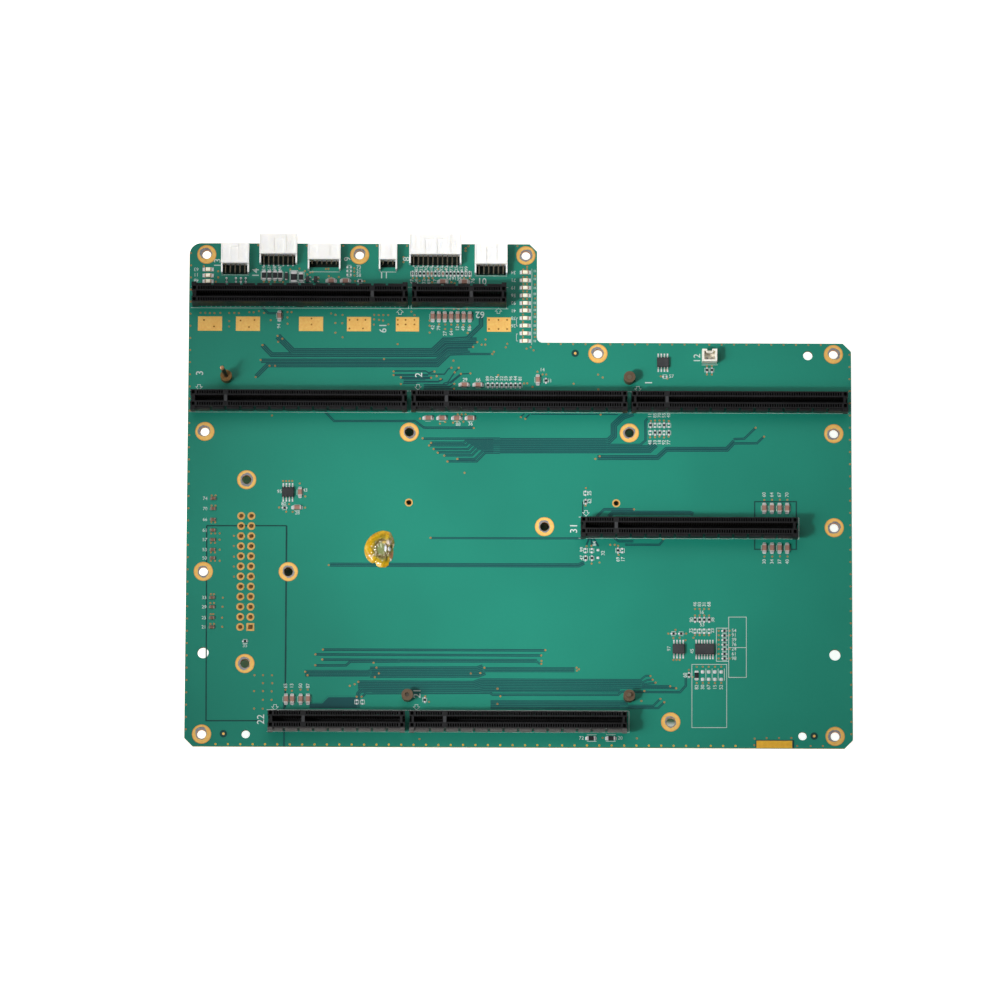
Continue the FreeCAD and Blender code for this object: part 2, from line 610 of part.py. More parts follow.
lead8 = gull("lead_eight", S("chip_eight_width") / 2, 3.25)
lead14 = gull("lead_many", S("chip_many_width") / 2, 3.6)
doc.recompute()
EIGHTS = [(59.25, 92.45), (-95.25, 37.55), (65.65, -27.1)]
MANY = (76.3, -27.2)
group("eight_lead_chip_bodies", [placed(eight.Shape, x, y, TOP) for (x, y) in EIGHTS])
leads = []
for (x, y) in EIGHTS:
    for i in range(4):
        dx = (i - 1.5) * S("lead_pitch_eight")
        leads.append(placed(lead8.Shape, x + dx, y, TOP))
        leads.append(placed(lead8.Shape, x + dx, y, TOP, 180))
group("eight_lead_chip_leads", leads)
group("fourteen_lead_chip_body", [placed(many.Shape, MANY[0], MANY[1], TOP)])
leads = []
for i in range(7):
    dx = (i - 3) * S("lead_pitch_many")
    leads.append(placed(lead14.Shape, MANY[0] + dx, MANY[1], TOP))
    leads.append(placed(lead14.Shape, MANY[0] + dx, MANY[1], TOP, 180))
group("fourteen_lead_chip_leads", leads)


def block(name, ex, ey, ez, le, we, he):
    b = doc.addObject("Part::Box", name)
    b.setExpression("Length", E(le))
    b.setExpression("Width", E(we))
    b.setExpression("Height", E(he))
    b.setExpression("Placement.Base.x", E(ex))
    b.setExpression("Placement.Base.y", E(ey))
    b.setExpression("Placement.Base.z", E(ez))
    return b


led_base = block("led_base", "-{led_len} / 2 + 0.5", "-{led_width} / 2", "0", "{led_len} - 1", "{led_width}", "{led_base}")
led_term = block("led_term", "{led_len} / 2 - 0.5", "-{led_width} / 2", "0", "0.5", "{led_width}", "{led_base}")
doc.recompute()
lens = Part.makeBox(2.0, 1.5, S("led_lens"), V(-1.0, -0.75, S("led_base")))
lens = lens.makeFillet(0.2, [e for e in lens.Edges if e.BoundBox.ZMin > S("led_base") + 0.3 or
                             e.BoundBox.ZLength > 0.5])
LEDS = [(2.3, y) for y in (130.3, 126.95, 123.8, 120.55, 117.35, 114.2, 111.0, 107.85, 104.6, 101.4)] \
    + [(-129.1, y) for y in (131.1, 128.55, 126.1)]


def at(shape, x, y, turn):
    # a copy of a small part standing on the board
    p = FreeCAD.Placement(V(x, y, TOP), FreeCAD.Rotation(V(0, 0, 1), turn))
    s = shape.copy()
    s.Placement = p.multiply(shape.Placement)
    return s


group("led_bases", [at(led_base.Shape, x, y, 0) for (x, y) in LEDS])
lens_f = doc.addObject("Part::Feature", "led_lens_form")
lens_f.Shape = lens
group("led_lenses", [at(lens_f.Shape, x, y, 0) for (x, y) in LEDS])
group("led_terminals", [at(led_term.Shape, x, y, t) for (x, y) in LEDS for t in (0, 180)])


def two_ended(tag, lc, wc, hc, ec):
    mid = block(tag + "_mid", "-{%s} / 2 + {%s}" % (lc, ec), "-{%s} / 2" % wc, "0.05",
                "{%s} - 2 * {%s}" % (lc, ec), "{%s}" % wc, "{%s}" % hc)
    end = block(tag + "_end", "{%s} / 2 - {%s}" % (lc, ec), "-{%s} / 2 - 0.02" % wc, "0",
                "{%s}" % ec, "{%s} + 0.04" % wc, "{%s} + 0.1" % hc)
    return mid, end


cap_mid, cap_end = two_ended("cap", "cap_len", "cap_width", "cap_height", "cap_end")
res_mid, res_end = two_ended("res", "res_len", "res_width", "res_height", "res_end")
tiny_mid, tiny_end = two_ended("tiny", "tiny_len", "tiny_width", "tiny_height", "tiny_end")
big_mid, big_end = two_ended("big", "big_len", "big_width", "big_height", "big_end")
small_mid, small_end = two_ended("small", "small_len", "small_width", "small_height", "small_end")
shunt_mid, shunt_end = two_ended("shunt", "shunt_len", "shunt_width", "shunt_height", "shunt_end")
doc.recompute()

# capacitors: position and turn
CAPS_UP = [(-99.4, 111.6), (-36.0, 111.5), (-33.45, 111.5), (-30.95, 111.5), (-28.35, 111.5), (-25.7, 111.5),
           (-23.2, 111.5), (-20.65, 111.5), (7.55, 85.1), (100.95, 31.6), (104.1, 31.6), (107.25, 31.6),
           (110.4, 31.6), (100.95, 15.0), (104.05, 15.0), (107.2, 15.0), (110.35, 15.0), (-90.3, 37.6),
           (-95.3, -48.4), (-92.8, -48.4), (-89.3, -48.4), (-86.3, -48.4)]
CAPS_ACROSS = [(-37.6, 68.8), (-31.9, 68.8), (-25.8, 68.8), (-20.2, 68.8), (-22.8, 82.8), (-17.05, 82.8),
               (-91.4, 31.2), (-78.1, 126.4), (-72.2, 126.4), (-31.9, 126.2), (-22.95, 126.2)]
# small capacitors: some in the row behind the ten-way header, the rest in a column near the left edge
ROW = [(-44.4 + 1.573 * i, 129.6) for i in range(16)]
SMALL_CAPS_UP = [ROW[i] for i in (4, 5, 8)]
SMALL_CAPS_ACROSS = [(-126.0, y) for y in (34.85, 30.6, 26.05, 21.6, 17.65, 13.5, 10.0, -6.45, -10.3, -14.8, -18.65)]
caps = [(x, y, 90) for (x, y) in CAPS_UP] + [(x, y, 0) for (x, y) in CAPS_ACROSS]
group("capacitor_bodies", [at(cap_mid.Shape, *c) for c in caps] + [at(tiny_mid.Shape, x, y, 90) for (x, y) in SMALL_CAPS_UP]
      + [at(small_mid.Shape, x, y, 0) for (x, y) in SMALL_CAPS_ACROSS])
group("capacitor_end_caps", [at(cap_end.Shape, x, y, t + k) for (x, y, t) in caps for k in (0, 180)]
      + [at(tiny_end.Shape, x, y, 90 + k) for (x, y) in SMALL_CAPS_UP for k in (0, 180)]
      + [at(small_end.Shape, x, y, k) for (x, y) in SMALL_CAPS_ACROSS for k in (0, 180)])

# resistors, two sizes
RES_UP = [(-106.0, 128.65), (-103.7, 128.65), (-101.4, 128.65), (-99.25, 128.65), (-90.6, 127.9), (73.0, -38.0)]
TINY_UP = [ROW[i] for i in range(16) if i not in (4, 5, 8)] \
    + [(-13.05 + 1.9 * i, 82.7) for i in range(8)] + [(10.9, 84.7)] \
    + [(-121.45, 126.65), (-117.55, 126.65), (-115.5, 126.65), (-113.5, 126.65)] \
    + [(54.1, 66.2), (59.75, 66.2), (56.0, 63.05), (57.9, 63.05), (61.65, 63.05)] \
    + [(x, -14.9) for x in (72.4, 74.3, 76.15, 78.2)] \
    + [(77.43, 89.4), (79.46, 89.4), (27.4, 34.05), (27.4, 10.55), (30.0, 10.55), (40.7, 13.8), (-38.45, -48.5), (69.85, -37.8)]
TINY_ACROSS = [(84.5, y) for y in (-19.45, -21.45, -23.3, -25.2, -27.1, -29.05, -30.95)] \
    + [(-66.15, 126.35), (-96.55, 31.1), (-112.3, -24.5), (63.6, -20.7), (66.7, -20.7)]
res = [(x, y, 90) for (x, y) in RES_UP]
tiny = [(x, y, 90) for (x, y) in TINY_UP] + [(x, y, 0) for (x, y) in TINY_ACROSS]
group("resistor_bodies", [at(res_mid.Shape, *c) for c in res] + [at(tiny_mid.Shape, *c) for c in tiny])
group("resistor_end_caps", [at(res_end.Shape, x, y, t + k) for (x, y, t) in res for k in (0, 180)]
      + [at(tiny_end.Shape, x, y, t + k) for (x, y, t) in tiny for k in (0, 180)])

# the larger black two-ended parts: a shunt by the seven-way header and two fuses at the lower edge
SHUNT = (-93.55, 127.9, 90)
FUSES = [(29.8, -64.15, 0), (37.95, -64.15, 0)]
group("fuse_bodies", [at(shunt_mid.Shape, *SHUNT)] + [at(big_mid.Shape, *c) for c in FUSES])
group("fuse_end_caps", [at(shunt_end.Shape, SHUNT[0], SHUNT[1], SHUNT[2] + k) for k in (0, 180)]
      + [at(big_end.Shape, x, y, t + k) for (x, y, t) in FUSES for k in (0, 180)])

# small black three-lead parts and one diode
blk = block("black_form", "-{tiny_black_len} / 2", "-{tiny_black_width} / 2", "0.12",
            "{tiny_black_len}", "{tiny_black_width}", "{tiny_black_height}")
foot = blade("foot_form", [(0.75, 0.5), (0.98, 0.5), (1.12, 0.125), (1.5, 0.125)], "contact_thick", "{lead_width}")
doc.recompute()
TRIPLES = [(-87.9, 127.0, 90), (-84.55, 127.0, 90)]
DIODE = (-96.75, 128.4, 90)
group("small_black_chip_bodies", [at(blk.Shape, *c) for c in TRIPLES] + [at(blk.Shape, *DIODE)])


def foot_at(x, y, turn, side, dx):
    p = FreeCAD.Placement(V(x, y, TOP), FreeCAD.Rotation(V(0, 0, 1), turn))
    k = FreeCAD.Placement(V(dx, 0, 0), FreeCAD.Rotation(V(0, 0, 1), side))
    s = foot.Shape.copy()
    s.Placement = p.multiply(k)
    return s


feet = []
for (x, y, t) in TRIPLES:
    feet += [foot_at(x, y, t, 0, 0.0), foot_at(x, y, t, 180, -0.95), foot_at(x, y, t, 180, 0.95)]
dend = Part.makeBox(0.45, 0.9, 0.5, V(S("tiny_black_len") / 2, -0.45, 0))
dend_f = doc.addObject("Part::Feature", "diode_end_form")
dend_f.Shape = dend
feet += [at(dend_f.Shape, DIODE[0], DIODE[1], DIODE[2] + k) for k in (0, 180)]
group("small_black_chip_leads", feet)

# a patch of clear yellow tape
tape = new_body("tape_patch")
s1 = sketch(tape, "tape_outline")
el = Part.Ellipse(V(0, S("tape_long") / 2, 0), V(S("tape_short") / 2, 0, 0), V(0, 0, 0))
s1.addGeometry(el, False)
pad(tape, "tape_pad", s1, "{tape_thick}")
tape.Placement = FreeCAD.Placement(V(-57.2, 14.05, TOP), FreeCAD.Rotation())
keep(tape, "tape_patch")

# ------------------------------------------------------------ check and write
doc.recompute()
bad = [o.Name for o in doc.Objects if "Invalid" in o.State or "Error" in o.State]
if bad:
    raise RuntimeError("failed objects: " + ", ".join(bad))
for o in nodes:
    if o.Shape.isNull() or not o.Shape.isValid() or not o.Shape.Solids:
        raise RuntimeError("bad shape: " + o.Label)
if len(nodes) > 60:
    raise RuntimeError("too many nodes")
os.makedirs("parts", exist_ok=True)
for o in nodes:
    o.Shape.exportStep("parts/%s.step" % o.Label)
print(len(nodes), "sub-parts,", sum(len(o.Shape.Solids) for o in nodes), "solids")
for o in nodes:
    bb = o.Shape.BoundBox
    print("%-32s solids %4d  vol %10.2f  x %.2f..%.2f y %.2f..%.2f z %.2f..%.2f" % (
        o.Label, len(o.Shape.Solids), o.Shape.Volume, bb.XMin, bb.XMax, bb.YMin, bb.YMax, bb.ZMin, bb.ZMax))
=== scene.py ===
import bpy
import math
import random
from mathutils import Matrix, Vector


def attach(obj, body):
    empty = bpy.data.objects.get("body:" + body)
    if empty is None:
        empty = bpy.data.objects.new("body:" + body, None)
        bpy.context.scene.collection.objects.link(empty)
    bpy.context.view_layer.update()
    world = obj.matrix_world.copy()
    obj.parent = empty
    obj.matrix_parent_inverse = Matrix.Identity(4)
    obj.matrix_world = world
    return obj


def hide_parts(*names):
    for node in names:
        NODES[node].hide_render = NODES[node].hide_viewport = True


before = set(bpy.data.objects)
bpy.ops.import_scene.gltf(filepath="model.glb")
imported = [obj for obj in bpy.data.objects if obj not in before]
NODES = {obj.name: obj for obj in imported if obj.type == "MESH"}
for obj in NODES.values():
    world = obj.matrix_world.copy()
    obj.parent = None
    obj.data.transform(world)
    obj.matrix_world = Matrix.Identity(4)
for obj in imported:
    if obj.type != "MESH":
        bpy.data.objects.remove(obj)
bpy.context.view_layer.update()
SCENE = bpy.context.scene
TOP = 2.4                       # top face of the board, mm
MM = 0.001
rng = random.Random(7)

# ------------------------------------------------------------------ camera
AIM = Vector((-7.865, 34.695, 2.4))
EYE = Vector((-7.865, -423.8, 2742.3))
TILT = math.radians(9.5)
ROLL = 0.0036
FOCAL = 6744.0                  # in pixels of a 1000 pixel frame
UP0 = Vector((0.0, math.cos(TILT), math.sin(TILT)))
RIGHT = Vector((1, 0, 0)) * math.cos(ROLL) + UP0 * math.sin(ROLL)
UP = Vector((1, 0, 0)) * -math.sin(ROLL) + UP0 * math.cos(ROLL)
FWD = (AIM - EYE).normalized()

cam_data = bpy.data.cameras.new("camera")
cam_data.sensor_width = 36.0
cam_data.lens = FOCAL / 1000.0 * 36.0
cam_data.clip_start = 0.05
cam_data.clip_end = 50.0
cam = bpy.data.objects.new("camera", cam_data)
SCENE.collection.objects.link(cam)
rot = Matrix((RIGHT, UP, -FWD)).transposed().to_4x4()
cam.matrix_world = Matrix.Translation(EYE * MM) @ rot
SCENE.camera = cam


def px(x, y, h=0.0):
    """Place on the plane h mm above the board that the photo shows at x, y."""
    d = FWD + RIGHT * ((x - 500.0) / FOCAL) - UP * ((y - 500.0) / FOCAL)
    k = (TOP + h - EYE.z) / d.z
    p = EYE + d * k
    return (p.x, p.y)


# --------------------------------------------------------------- materials
def srgb(r, g, b):
    f = lambda c: (c / 255.0) / 12.92 if c <= 10 else (((c / 255.0) + 0.055) / 1.055) ** 2.4
    return (f(r), f(g), f(b), 1.0)


class Mat:
    """A small builder for node materials."""

    def __init__(self, name):
        self.m = bpy.data.materials.new(name)
        self.m.use_nodes = True
        self.t = self.m.node_tree
        self.b = self.t.nodes["Principled BSDF"]
        self.coord = None

    def node(self, kind, **props):
        n = self.t.nodes.new(kind)
        for k, v in props.items():
            setattr(n, k, v)
        return n

    def link(self, a, b):
        self.t.links.new(a, b)

    def obj(self, scale=(1.0, 1.0, 1.0)):
        if self.coord is None:
            self.coord = self.node("ShaderNodeTexCoord")
        mp = self.node("ShaderNodeMapping")
        mp.inputs["Scale"].default_value = scale
        self.link(self.coord.outputs["Object"], mp.inputs["Vector"])
        return mp.outputs["Vector"]

    def noise(self, scale, detail=4.0, rough=0.55, stretch=(1.0, 1.0, 1.0), distort=0.0):
        n = self.node("ShaderNodeTexNoise")
        n.inputs["Scale"].default_value = scale
        n.inputs["Detail"].default_value = detail
        n.inputs["Roughness"].default_value = rough
        n.inputs["Distortion"].default_value = distort
        self.link(self.obj(stretch), n.inputs["Vector"])
        return n.outputs["Fac"]

    def ramp(self, fac, stops, linear=True):
        r = self.node("ShaderNodeValToRGB")
        r.color_ramp.interpolation = "LINEAR" if linear else "EASE"
        el = r.color_ramp.elements
        el[0].position, el[0].color = stops[0]
        el[1].position, el[1].color = stops[-1]
        for p, c in stops[1:-1]:
            e = el.new(p)
            e.color = c
        self.link(fac, r.inputs["Fac"])
        return r.outputs["Color"]

    def mix(self, fac, a, b, mode="MIX"):
        n = self.node("ShaderNodeMix", data_type="RGBA", blend_type=mode)
        for i, v in ((0, fac), (6, a), (7, b)):
            if isinstance(v, (float, int)):
                n.inputs[i].default_value = v
            elif isinstance(v, tuple):
                n.inputs[i].default_value = v
            else:
                self.link(v, n.inputs[i])
        return n.outputs[2]

    def math(self, op, a, b=None):
        n = self.node("ShaderNodeMath", operation=op)
        for i, v in ((0, a), (1, b)):
            if v is None:
                continue
            if isinstance(v, (float, int)):
                n.inputs[i].default_value = v
            else:
                self.link(v, n.inputs[i])
        return n.outputs[0]

    def span(self, fac, lo, hi, f0=0.0, f1=1.0):
        n = self.node("ShaderNodeMapRange")
        for k, v in (("From Min", f0), ("From Max", f1), ("To Min", lo), ("To Max", hi)):
            n.inputs[k].default_value = v
        self.link(fac, n.inputs["Value"])
        return n.outputs["Result"]

    def bump(self, height, strength, dist):
        n = self.node("ShaderNodeBump")
        n.inputs["Strength"].default_value = strength
        n.inputs["Distance"].default_value = dist
        self.link(height, n.inputs["Height"])
        self.link(n.outputs["Normal"], self.b.inputs["Normal"])

    def set(self, **kw):
        for k, v in kw.items():
            s = self.b.inputs[k.replace("_", " ")]
            if isinstance(v, (float, int, tuple)):
                s.default_value = v
            else:
                self.link(v, s)
        return self


def mask_material(name, base, dark, light, edge=True):
    """Solder mask over copper and laminate; the cut edges show the bare laminate."""
    m = Mat(name)
    big = m.noise(9.0, 3.0, 0.5)
    fine = m.noise(900.0, 2.0, 0.5)
    col = m.ramp(big, [(0.3, dark), (0.5, base), (0.72, light)])
    wx = m.node("ShaderNodeTexWave", bands_direction="X")
    wx.inputs["Scale"].default_value = 420.0
    wx.inputs["Distortion"].default_value = 1.2
    wx.inputs["Detail"].default_value = 1.0
    m.link(m.obj(), wx.inputs["Vector"])
    wy = m.node("ShaderNodeTexWave", bands_direction="Y")
    wy.inputs["Scale"].default_value = 420.0
    wy.inputs["Distortion"].default_value = 1.2
    wy.inputs["Detail"].default_value = 1.0
    m.link(m.obj(), wy.inputs["Vector"])
    weave = m.math("MULTIPLY", wx.outputs["Fac"], wy.outputs["Fac"])
    col = m.mix(m.span(weave, 0.0, 0.10), col, light)
    col = m.mix(m.span(fine, 0.0, 0.10, 0.35, 0.7), col, dark)
    if edge:
        geo = m.node("ShaderNodeNewGeometry")
        sep = m.node("ShaderNodeSeparateXYZ")
        m.link(geo.outputs["True Normal"], sep.inputs[0])
        side = m.math("LESS_THAN", m.math("ABSOLUTE", sep.outputs["Z"]), 0.5)
        layers = m.noise(700.0, 2.0, 0.5, (0.05, 0.05, 3.0))
        lam = m.ramp(layers, [(0.3, srgb(70, 84, 40)), (0.55, srgb(120, 122, 62)), (0.8, srgb(44, 74, 46))])
        col = m.mix(side, col, lam)
        m.set(Roughness=m.mix(side, m.span(fine, 0.34, 0.48), (0.8, 0.8, 0.8, 1)))
    else:
        m.set(Roughness=m.span(fine, 0.34, 0.48))
    m.set(Base_Color=col, Specular_IOR_Level=0.3)
    m.bump(weave, 0.10, 0.00002)
    return m.m


def plastic(name, base, light, rough=(0.4, 0.55), grain=1400.0, spec=0.4, dust=0.0, dust_col=(0.5, 0.5, 0.48, 1), glow=0.0, painted_glow_and_shade=0.0):
    m = Mat(name)
    if painted_glow_and_shade:
        # painted light: pale plastic glows a little where it looks up, so that its sides stay in shade
        up = m.node("ShaderNodeSeparateXYZ")
        m.link(m.node("ShaderNodeTexCoord").outputs["Normal"], up.inputs[0])
        m.set(Emission_Color=light, Emission_Strength=m.span(up.outputs["Z"], 0.0, painted_glow_and_shade, 0.4, 0.9))
    if glow:
        m.set(Subsurface_Weight=glow, Subsurface_Radius=(1.0, 0.9, 0.75), Subsurface_Scale=0.0012)
    f = m.noise(grain, 3.0, 0.6)
    g = m.noise(60.0, 4.0, 0.6)
    col = m.mix(m.span(g, 0.0, 1.0, 0.35, 0.7), base, light)
    col = m.mix(m.span(f, 0.0, 0.35, 0.4, 0.75), col, light)
    if dust:
        d = m.noise(2600.0, 2.0, 0.7)
        col = m.mix(m.span(d, 0.0, dust, 0.66, 0.78), col, dust_col)
    m.set(Base_Color=col, Roughness=m.span(f, rough[0], rough[1], 0.3, 0.7), Specular_IOR_Level=spec)
    m.bump(f, 0.18, 0.00003)
    return m.m


def metal(name, base, shade, rough=(0.28, 0.45), metallic=1.0, scale=500.0, stretch=(1, 1, 1)):
    m = Mat(name)
    f = m.noise(scale, 4.0, 0.6, stretch)
    g = m.noise(scale * 0.15, 3.0, 0.6)
    col = m.mix(m.span(f, 0.0, 0.8, 0.35, 0.75), base, shade)
    col = m.mix(m.span(g, 0.0, 0.5, 0.45, 0.75), col, shade)
    m.set(Base_Color=col, Roughness=m.span(f, rough[0], rough[1], 0.3, 0.7), Metallic=metallic)
    m.bump(f, 0.15, 0.00003)
    return m.m


GREEN = srgb(16, 134, 112)
M_BOARD = mask_material("solder_mask", GREEN, srgb(12, 124, 104), srgb(22, 142, 119))
M_BAND = mask_material("mask_over_laminate", srgb(7, 77, 79), srgb(6, 69, 72), srgb(11, 86, 85), edge=False)
M_TRACE = mask_material("mask_over_trace", srgb(18, 116, 102), srgb(14, 104, 94), srgb(26, 128, 110), edge=False)
M_GOLD = metal("pad_gold", srgb(255, 208, 116), srgb(244, 180, 84), (0.42, 0.58), 0.22, 1100.0)
M_RIM = metal("pad_rim", srgb(244, 174, 84), srgb(222, 150, 62), (0.42, 0.58), 0.35, 900.0)
# painted shade: the slot contacts are coloured near black, for the shade deep inside the slots
M_CONTACT = metal("contact_metal", srgb(46, 42, 37), srgb(28, 26, 24), (0.4, 0.55), 0.7, 900.0)
M_BARREL = metal("hole_plating", srgb(200, 130, 52), srgb(120, 66, 20), (0.35, 0.55), 0.8, 600.0)
M_VIA = metal("via_land", srgb(204, 146, 72), srgb(152, 104, 52), (0.45, 0.62), 0.25, 900.0)
M_PLAND = metal("power_land", srgb(238, 192, 114), srgb(200, 154, 82), (0.42, 0.58), 0.45, 700.0)
M_WEAR = metal("screw_wear", srgb(176, 176, 180), srgb(112, 114, 120), (0.35, 0.6), 0.6, 1500.0, (1, 1, 1))
# painted light: both nylons glow a little on their upward faces
M_NYLON = plastic("white_nylon", srgb(253, 252, 249), srgb(247, 246, 241), (0.38, 0.5), 900.0, 0.4, glow=0.6, painted_glow_and_shade=0.24)
M_UPRIGHT = plastic("upright_nylon", srgb(252, 249, 240), srgb(240, 233, 216), (0.38, 0.5), 900.0, 0.4, glow=0.2, painted_glow_and_shade=0.04)
M_POWER = plastic("power_plastic", srgb(232, 229, 216), srgb(220, 216, 200), (0.4, 0.52), 900.0, 0.4)
M_TIN = metal("tin_plate", srgb(206, 204, 200), srgb(150, 148, 144), (0.3, 0.5), 0.9, 900.0)
M_SOLDER = metal("solder", srgb(246, 244, 244), srgb(204, 202, 204), (0.32, 0.48), 0.35, 1300.0)
M_LEAD = metal("chip_lead", srgb(232, 230, 226), srgb(184, 182, 178), (0.3, 0.45), 0.5, 1300.0)
M_HPIN = metal("header_pin", srgb(132, 122, 104), srgb(84, 76, 62), (0.35, 0.5), 0.7, 1000.0)
M_PPIN = metal("power_pin", srgb(120, 92, 58), srgb(64, 48, 30), (0.35, 0.55), 0.6, 1000.0)
M_EDGE = metal("edge_gold", srgb(254, 198, 62), srgb(234, 174, 44), (0.4, 0.55), 0.34, 700.0)
M_TERM = metal("lamp_terminal", srgb(252, 251, 248), srgb(226, 224, 219), (0.35, 0.5), 0.25, 1300.0)
M_CHIP = plastic("chip_plastic", srgb(42, 43, 45), srgb(68, 69, 71), (0.5, 0.65), 2600.0, 0.35, 0.6, (0.12, 0.12, 0.12, 1))
M_LEDBASE = plastic("led_ceramic", srgb(228, 222, 205), srgb(210, 202, 182), (0.45, 0.6), 1500.0, 0.35)
# painted light: the lamp resin glows a little on its upward faces
M_LENS = plastic("led_resin", srgb(255, 248, 230), srgb(253, 240, 210), (0.15, 0.28), 1200.0, 0.5, glow=0.4, painted_glow_and_shade=0.22)
M_RES = plastic("resistor_glaze", srgb(26, 26, 30), srgb(46, 46, 50), (0.25, 0.4), 1800.0, 0.45)
M_SILK = plastic("silkscreen_ink", srgb(214, 223, 219), srgb(186, 202, 196), (0.6, 0.75), 2500.0, 0.25)


def zoned(name, base, shade, other, axis, lo, hi, rough, metallic):
    """A worn metal whose tone changes over from lo to hi (mm) along one axis."""
    m = Mat(name)
    f = m.noise(900.0, 4.0, 0.6)
    col = m.mix(m.span(f, 0.0, 0.9, 0.35, 0.7), base, shade)
    sep = m.node("ShaderNodeSeparateXYZ")
    m.link(m.obj(), sep.inputs[0])
    col = m.mix(m.span(sep.outputs[axis], 0.0, 1.0, lo * MM, hi * MM), col, other)
    m.set(Base_Color=col, Roughness=m.span(f, rough[0], rough[1], 0.3, 0.7), Metallic=metallic)
    m.bump(f, 0.2, 0.00004)
    return m.m


M_CAP = zoned("capacitor_ceramic", srgb(136, 97, 72), srgb(92, 65, 50), srgb(160, 117, 102), "X", -121.0, -119.0, (0.45, 0.6), 0.0)
M_CAPEND = zoned("capacitor_end", srgb(176, 165, 154), srgb(88, 79, 72), srgb(212, 207, 202), "X", -121.0, -119.0, (0.34, 0.5), 0.45)
M_COLLAR = zoned("guide_collar", srgb(150, 112, 62), srgb(104, 76, 44), srgb(112, 92, 72), "X", -100.0, -60.0, (0.38, 0.55), 0.55)
M_PIN = zoned("guide_pin_steel", srgb(112, 104, 92), srgb(70, 66, 58), srgb(128, 116, 96), "X", 0.0, 30.0, (0.32, 0.48), 0.7)
M_BENT = zoned("bent_pin_steel", srgb(78, 72, 58), srgb(50, 47, 40), srgb(226, 172, 128), "Z", 16.4, 17.2, (0.32, 0.48), 0.6)
M_SHADE = plastic("pin_shade", srgb(14, 26, 23), srgb(20, 36, 31), (0.6, 0.75), 1500.0, 0.15)
M_DARK = plastic("bare_laminate", srgb(9, 62, 60), srgb(14, 74, 70), (0.6, 0.7), 1500.0, 0.3)


TAPE_C = (382.3, 549.2)          # middle of the crumpled dome, photo pixels


def tape_material():
    m = Mat("tape_film")
    cx, cy = px(*TAPE_C)
    sep = m.node("ShaderNodeSeparateXYZ")
    m.link(m.obj(), sep.inputs[0])
    dx = m.math("DIVIDE", m.math("SUBTRACT", sep.outputs["X"], cx * MM), 0.0033)
    dy = m.math("DIVIDE", m.math("SUBTRACT", sep.outputs["Y"], cy * MM), 0.0046)
    r = m.math("SQRT", m.math("ADD", m.math("MULTIPLY", dx, dx), m.math("MULTIPLY", dy, dy)))
    big = m.noise(300.0, 4.0, 0.6, distort=1.0)
    fine = m.noise(330.0, 3.0, 0.55, distort=2.0)
    amber = m.ramp(big, [(0.28, srgb(176, 122, 2)), (0.46, srgb(202, 152, 4)), (0.62, srgb(216, 174, 20)), (0.82, srgb(236, 218, 132))])
    # the crumple colours run from dark brown to white: painted shade in the creases and painted glints on them
    crumple = m.ramp(fine, [(0.3, srgb(66, 44, 30)), (0.41, srgb(112, 116, 44)), (0.49, srgb(146, 148, 84)), (0.54, srgb(118, 80, 62)), (0.6, srgb(178, 172, 128)), (0.67, srgb(212, 206, 198)), (0.74, srgb(254, 254, 255))])
    rr = m.math("ADD", r, m.span(big, -0.25, 0.25, 0.3, 0.7))
    core = m.span(rr, 1.0, 0.0, 0.85, 1.2)
    edge = m.span(dx, 0.0, 1.0, 0.75, 1.0)
    olive = m.mix(m.span(rr, 0.0, 0.7, 1.5, 1.0), amber, srgb(126, 124, 30))
    col = m.mix(m.math("MAXIMUM", core, edge), olive, crumple)

    def spot(q, rx, ry, soft=0.35, rag=0.5):
        """A soft ragged oval on the film, 1 in its middle."""
        qx, qy = px(*q)
        a = m.math("DIVIDE", m.math("SUBTRACT", sep.outputs["X"], qx * MM), rx * MM)
        b = m.math("DIVIDE", m.math("SUBTRACT", sep.outputs["Y"], qy * MM), ry * MM)
        d = m.math("SQRT", m.math("ADD", m.math("MULTIPLY", a, a), m.math("MULTIPLY", b, b)))
        d = m.math("ADD", d, m.span(fine, -rag, rag, 0.2, 0.8))
        return m.span(d, 1.0, 0.0, 1.0 - soft, 1.0 + soft * 0.3)

    # painted shade in the creases round a glossy blister, painted glints and an amber painted highlight on it, and pale
    # folds at the right
    ring = m.math("SUBTRACT", spot((382.4, 548.8), 2.75, 4.0, 0.2, 0.7), spot((382.4, 548.8), 2.1, 3.3, 0.2, 0.4))
    col = m.mix(m.math("MULTIPLY", m.math("MAXIMUM", ring, 0.0), 0.75), col, srgb(92, 60, 36))
    col = m.mix(m.math("MULTIPLY", spot((381.6, 548.6), 1.75, 3.0, 0.3, 0.25), 0.8), col, srgb(132, 144, 92))
    col = m.mix(m.math("MULTIPLY", spot((384.2, 542.6), 1.1, 0.7, 0.5, 0.3), 0.8), col, srgb(226, 192, 104))
    col = m.mix(spot((389.0, 542.6), 1.0, 1.15, 0.5, 0.6), col, srgb(208, 192, 176))
    col = m.mix(spot((391.4, 555.6), 0.9, 1.4, 0.5, 0.6), col, srgb(150, 108, 74))
    col = m.mix(spot((385.6, 548.6), 0.55, 1.5, 0.5, 0.15), col, srgb(232, 238, 252))
    col = m.mix(spot((389.6, 549.4), 0.6, 0.95, 0.5, 0.15), col, srgb(254, 254, 254))
    col = m.mix(m.math("MULTIPLY", spot((381.0, 545.6), 0.4, 1.3, 0.6, 0.2), 0.7), col, srgb(196, 204, 160))
    m.set(Base_Color=col, Roughness=m.span(big, 0.22, 0.38), Coat_Weight=0.35, Coat_Roughness=0.08, Specular_IOR_Level=0.45)
    m.bump(fine, 0.45, 0.0003)
    return m.m


M_TAPE = tape_material()


def use(node, mat):
    o = NODES[node]
    o.data.materials.clear()
    o.data.materials.append(mat)


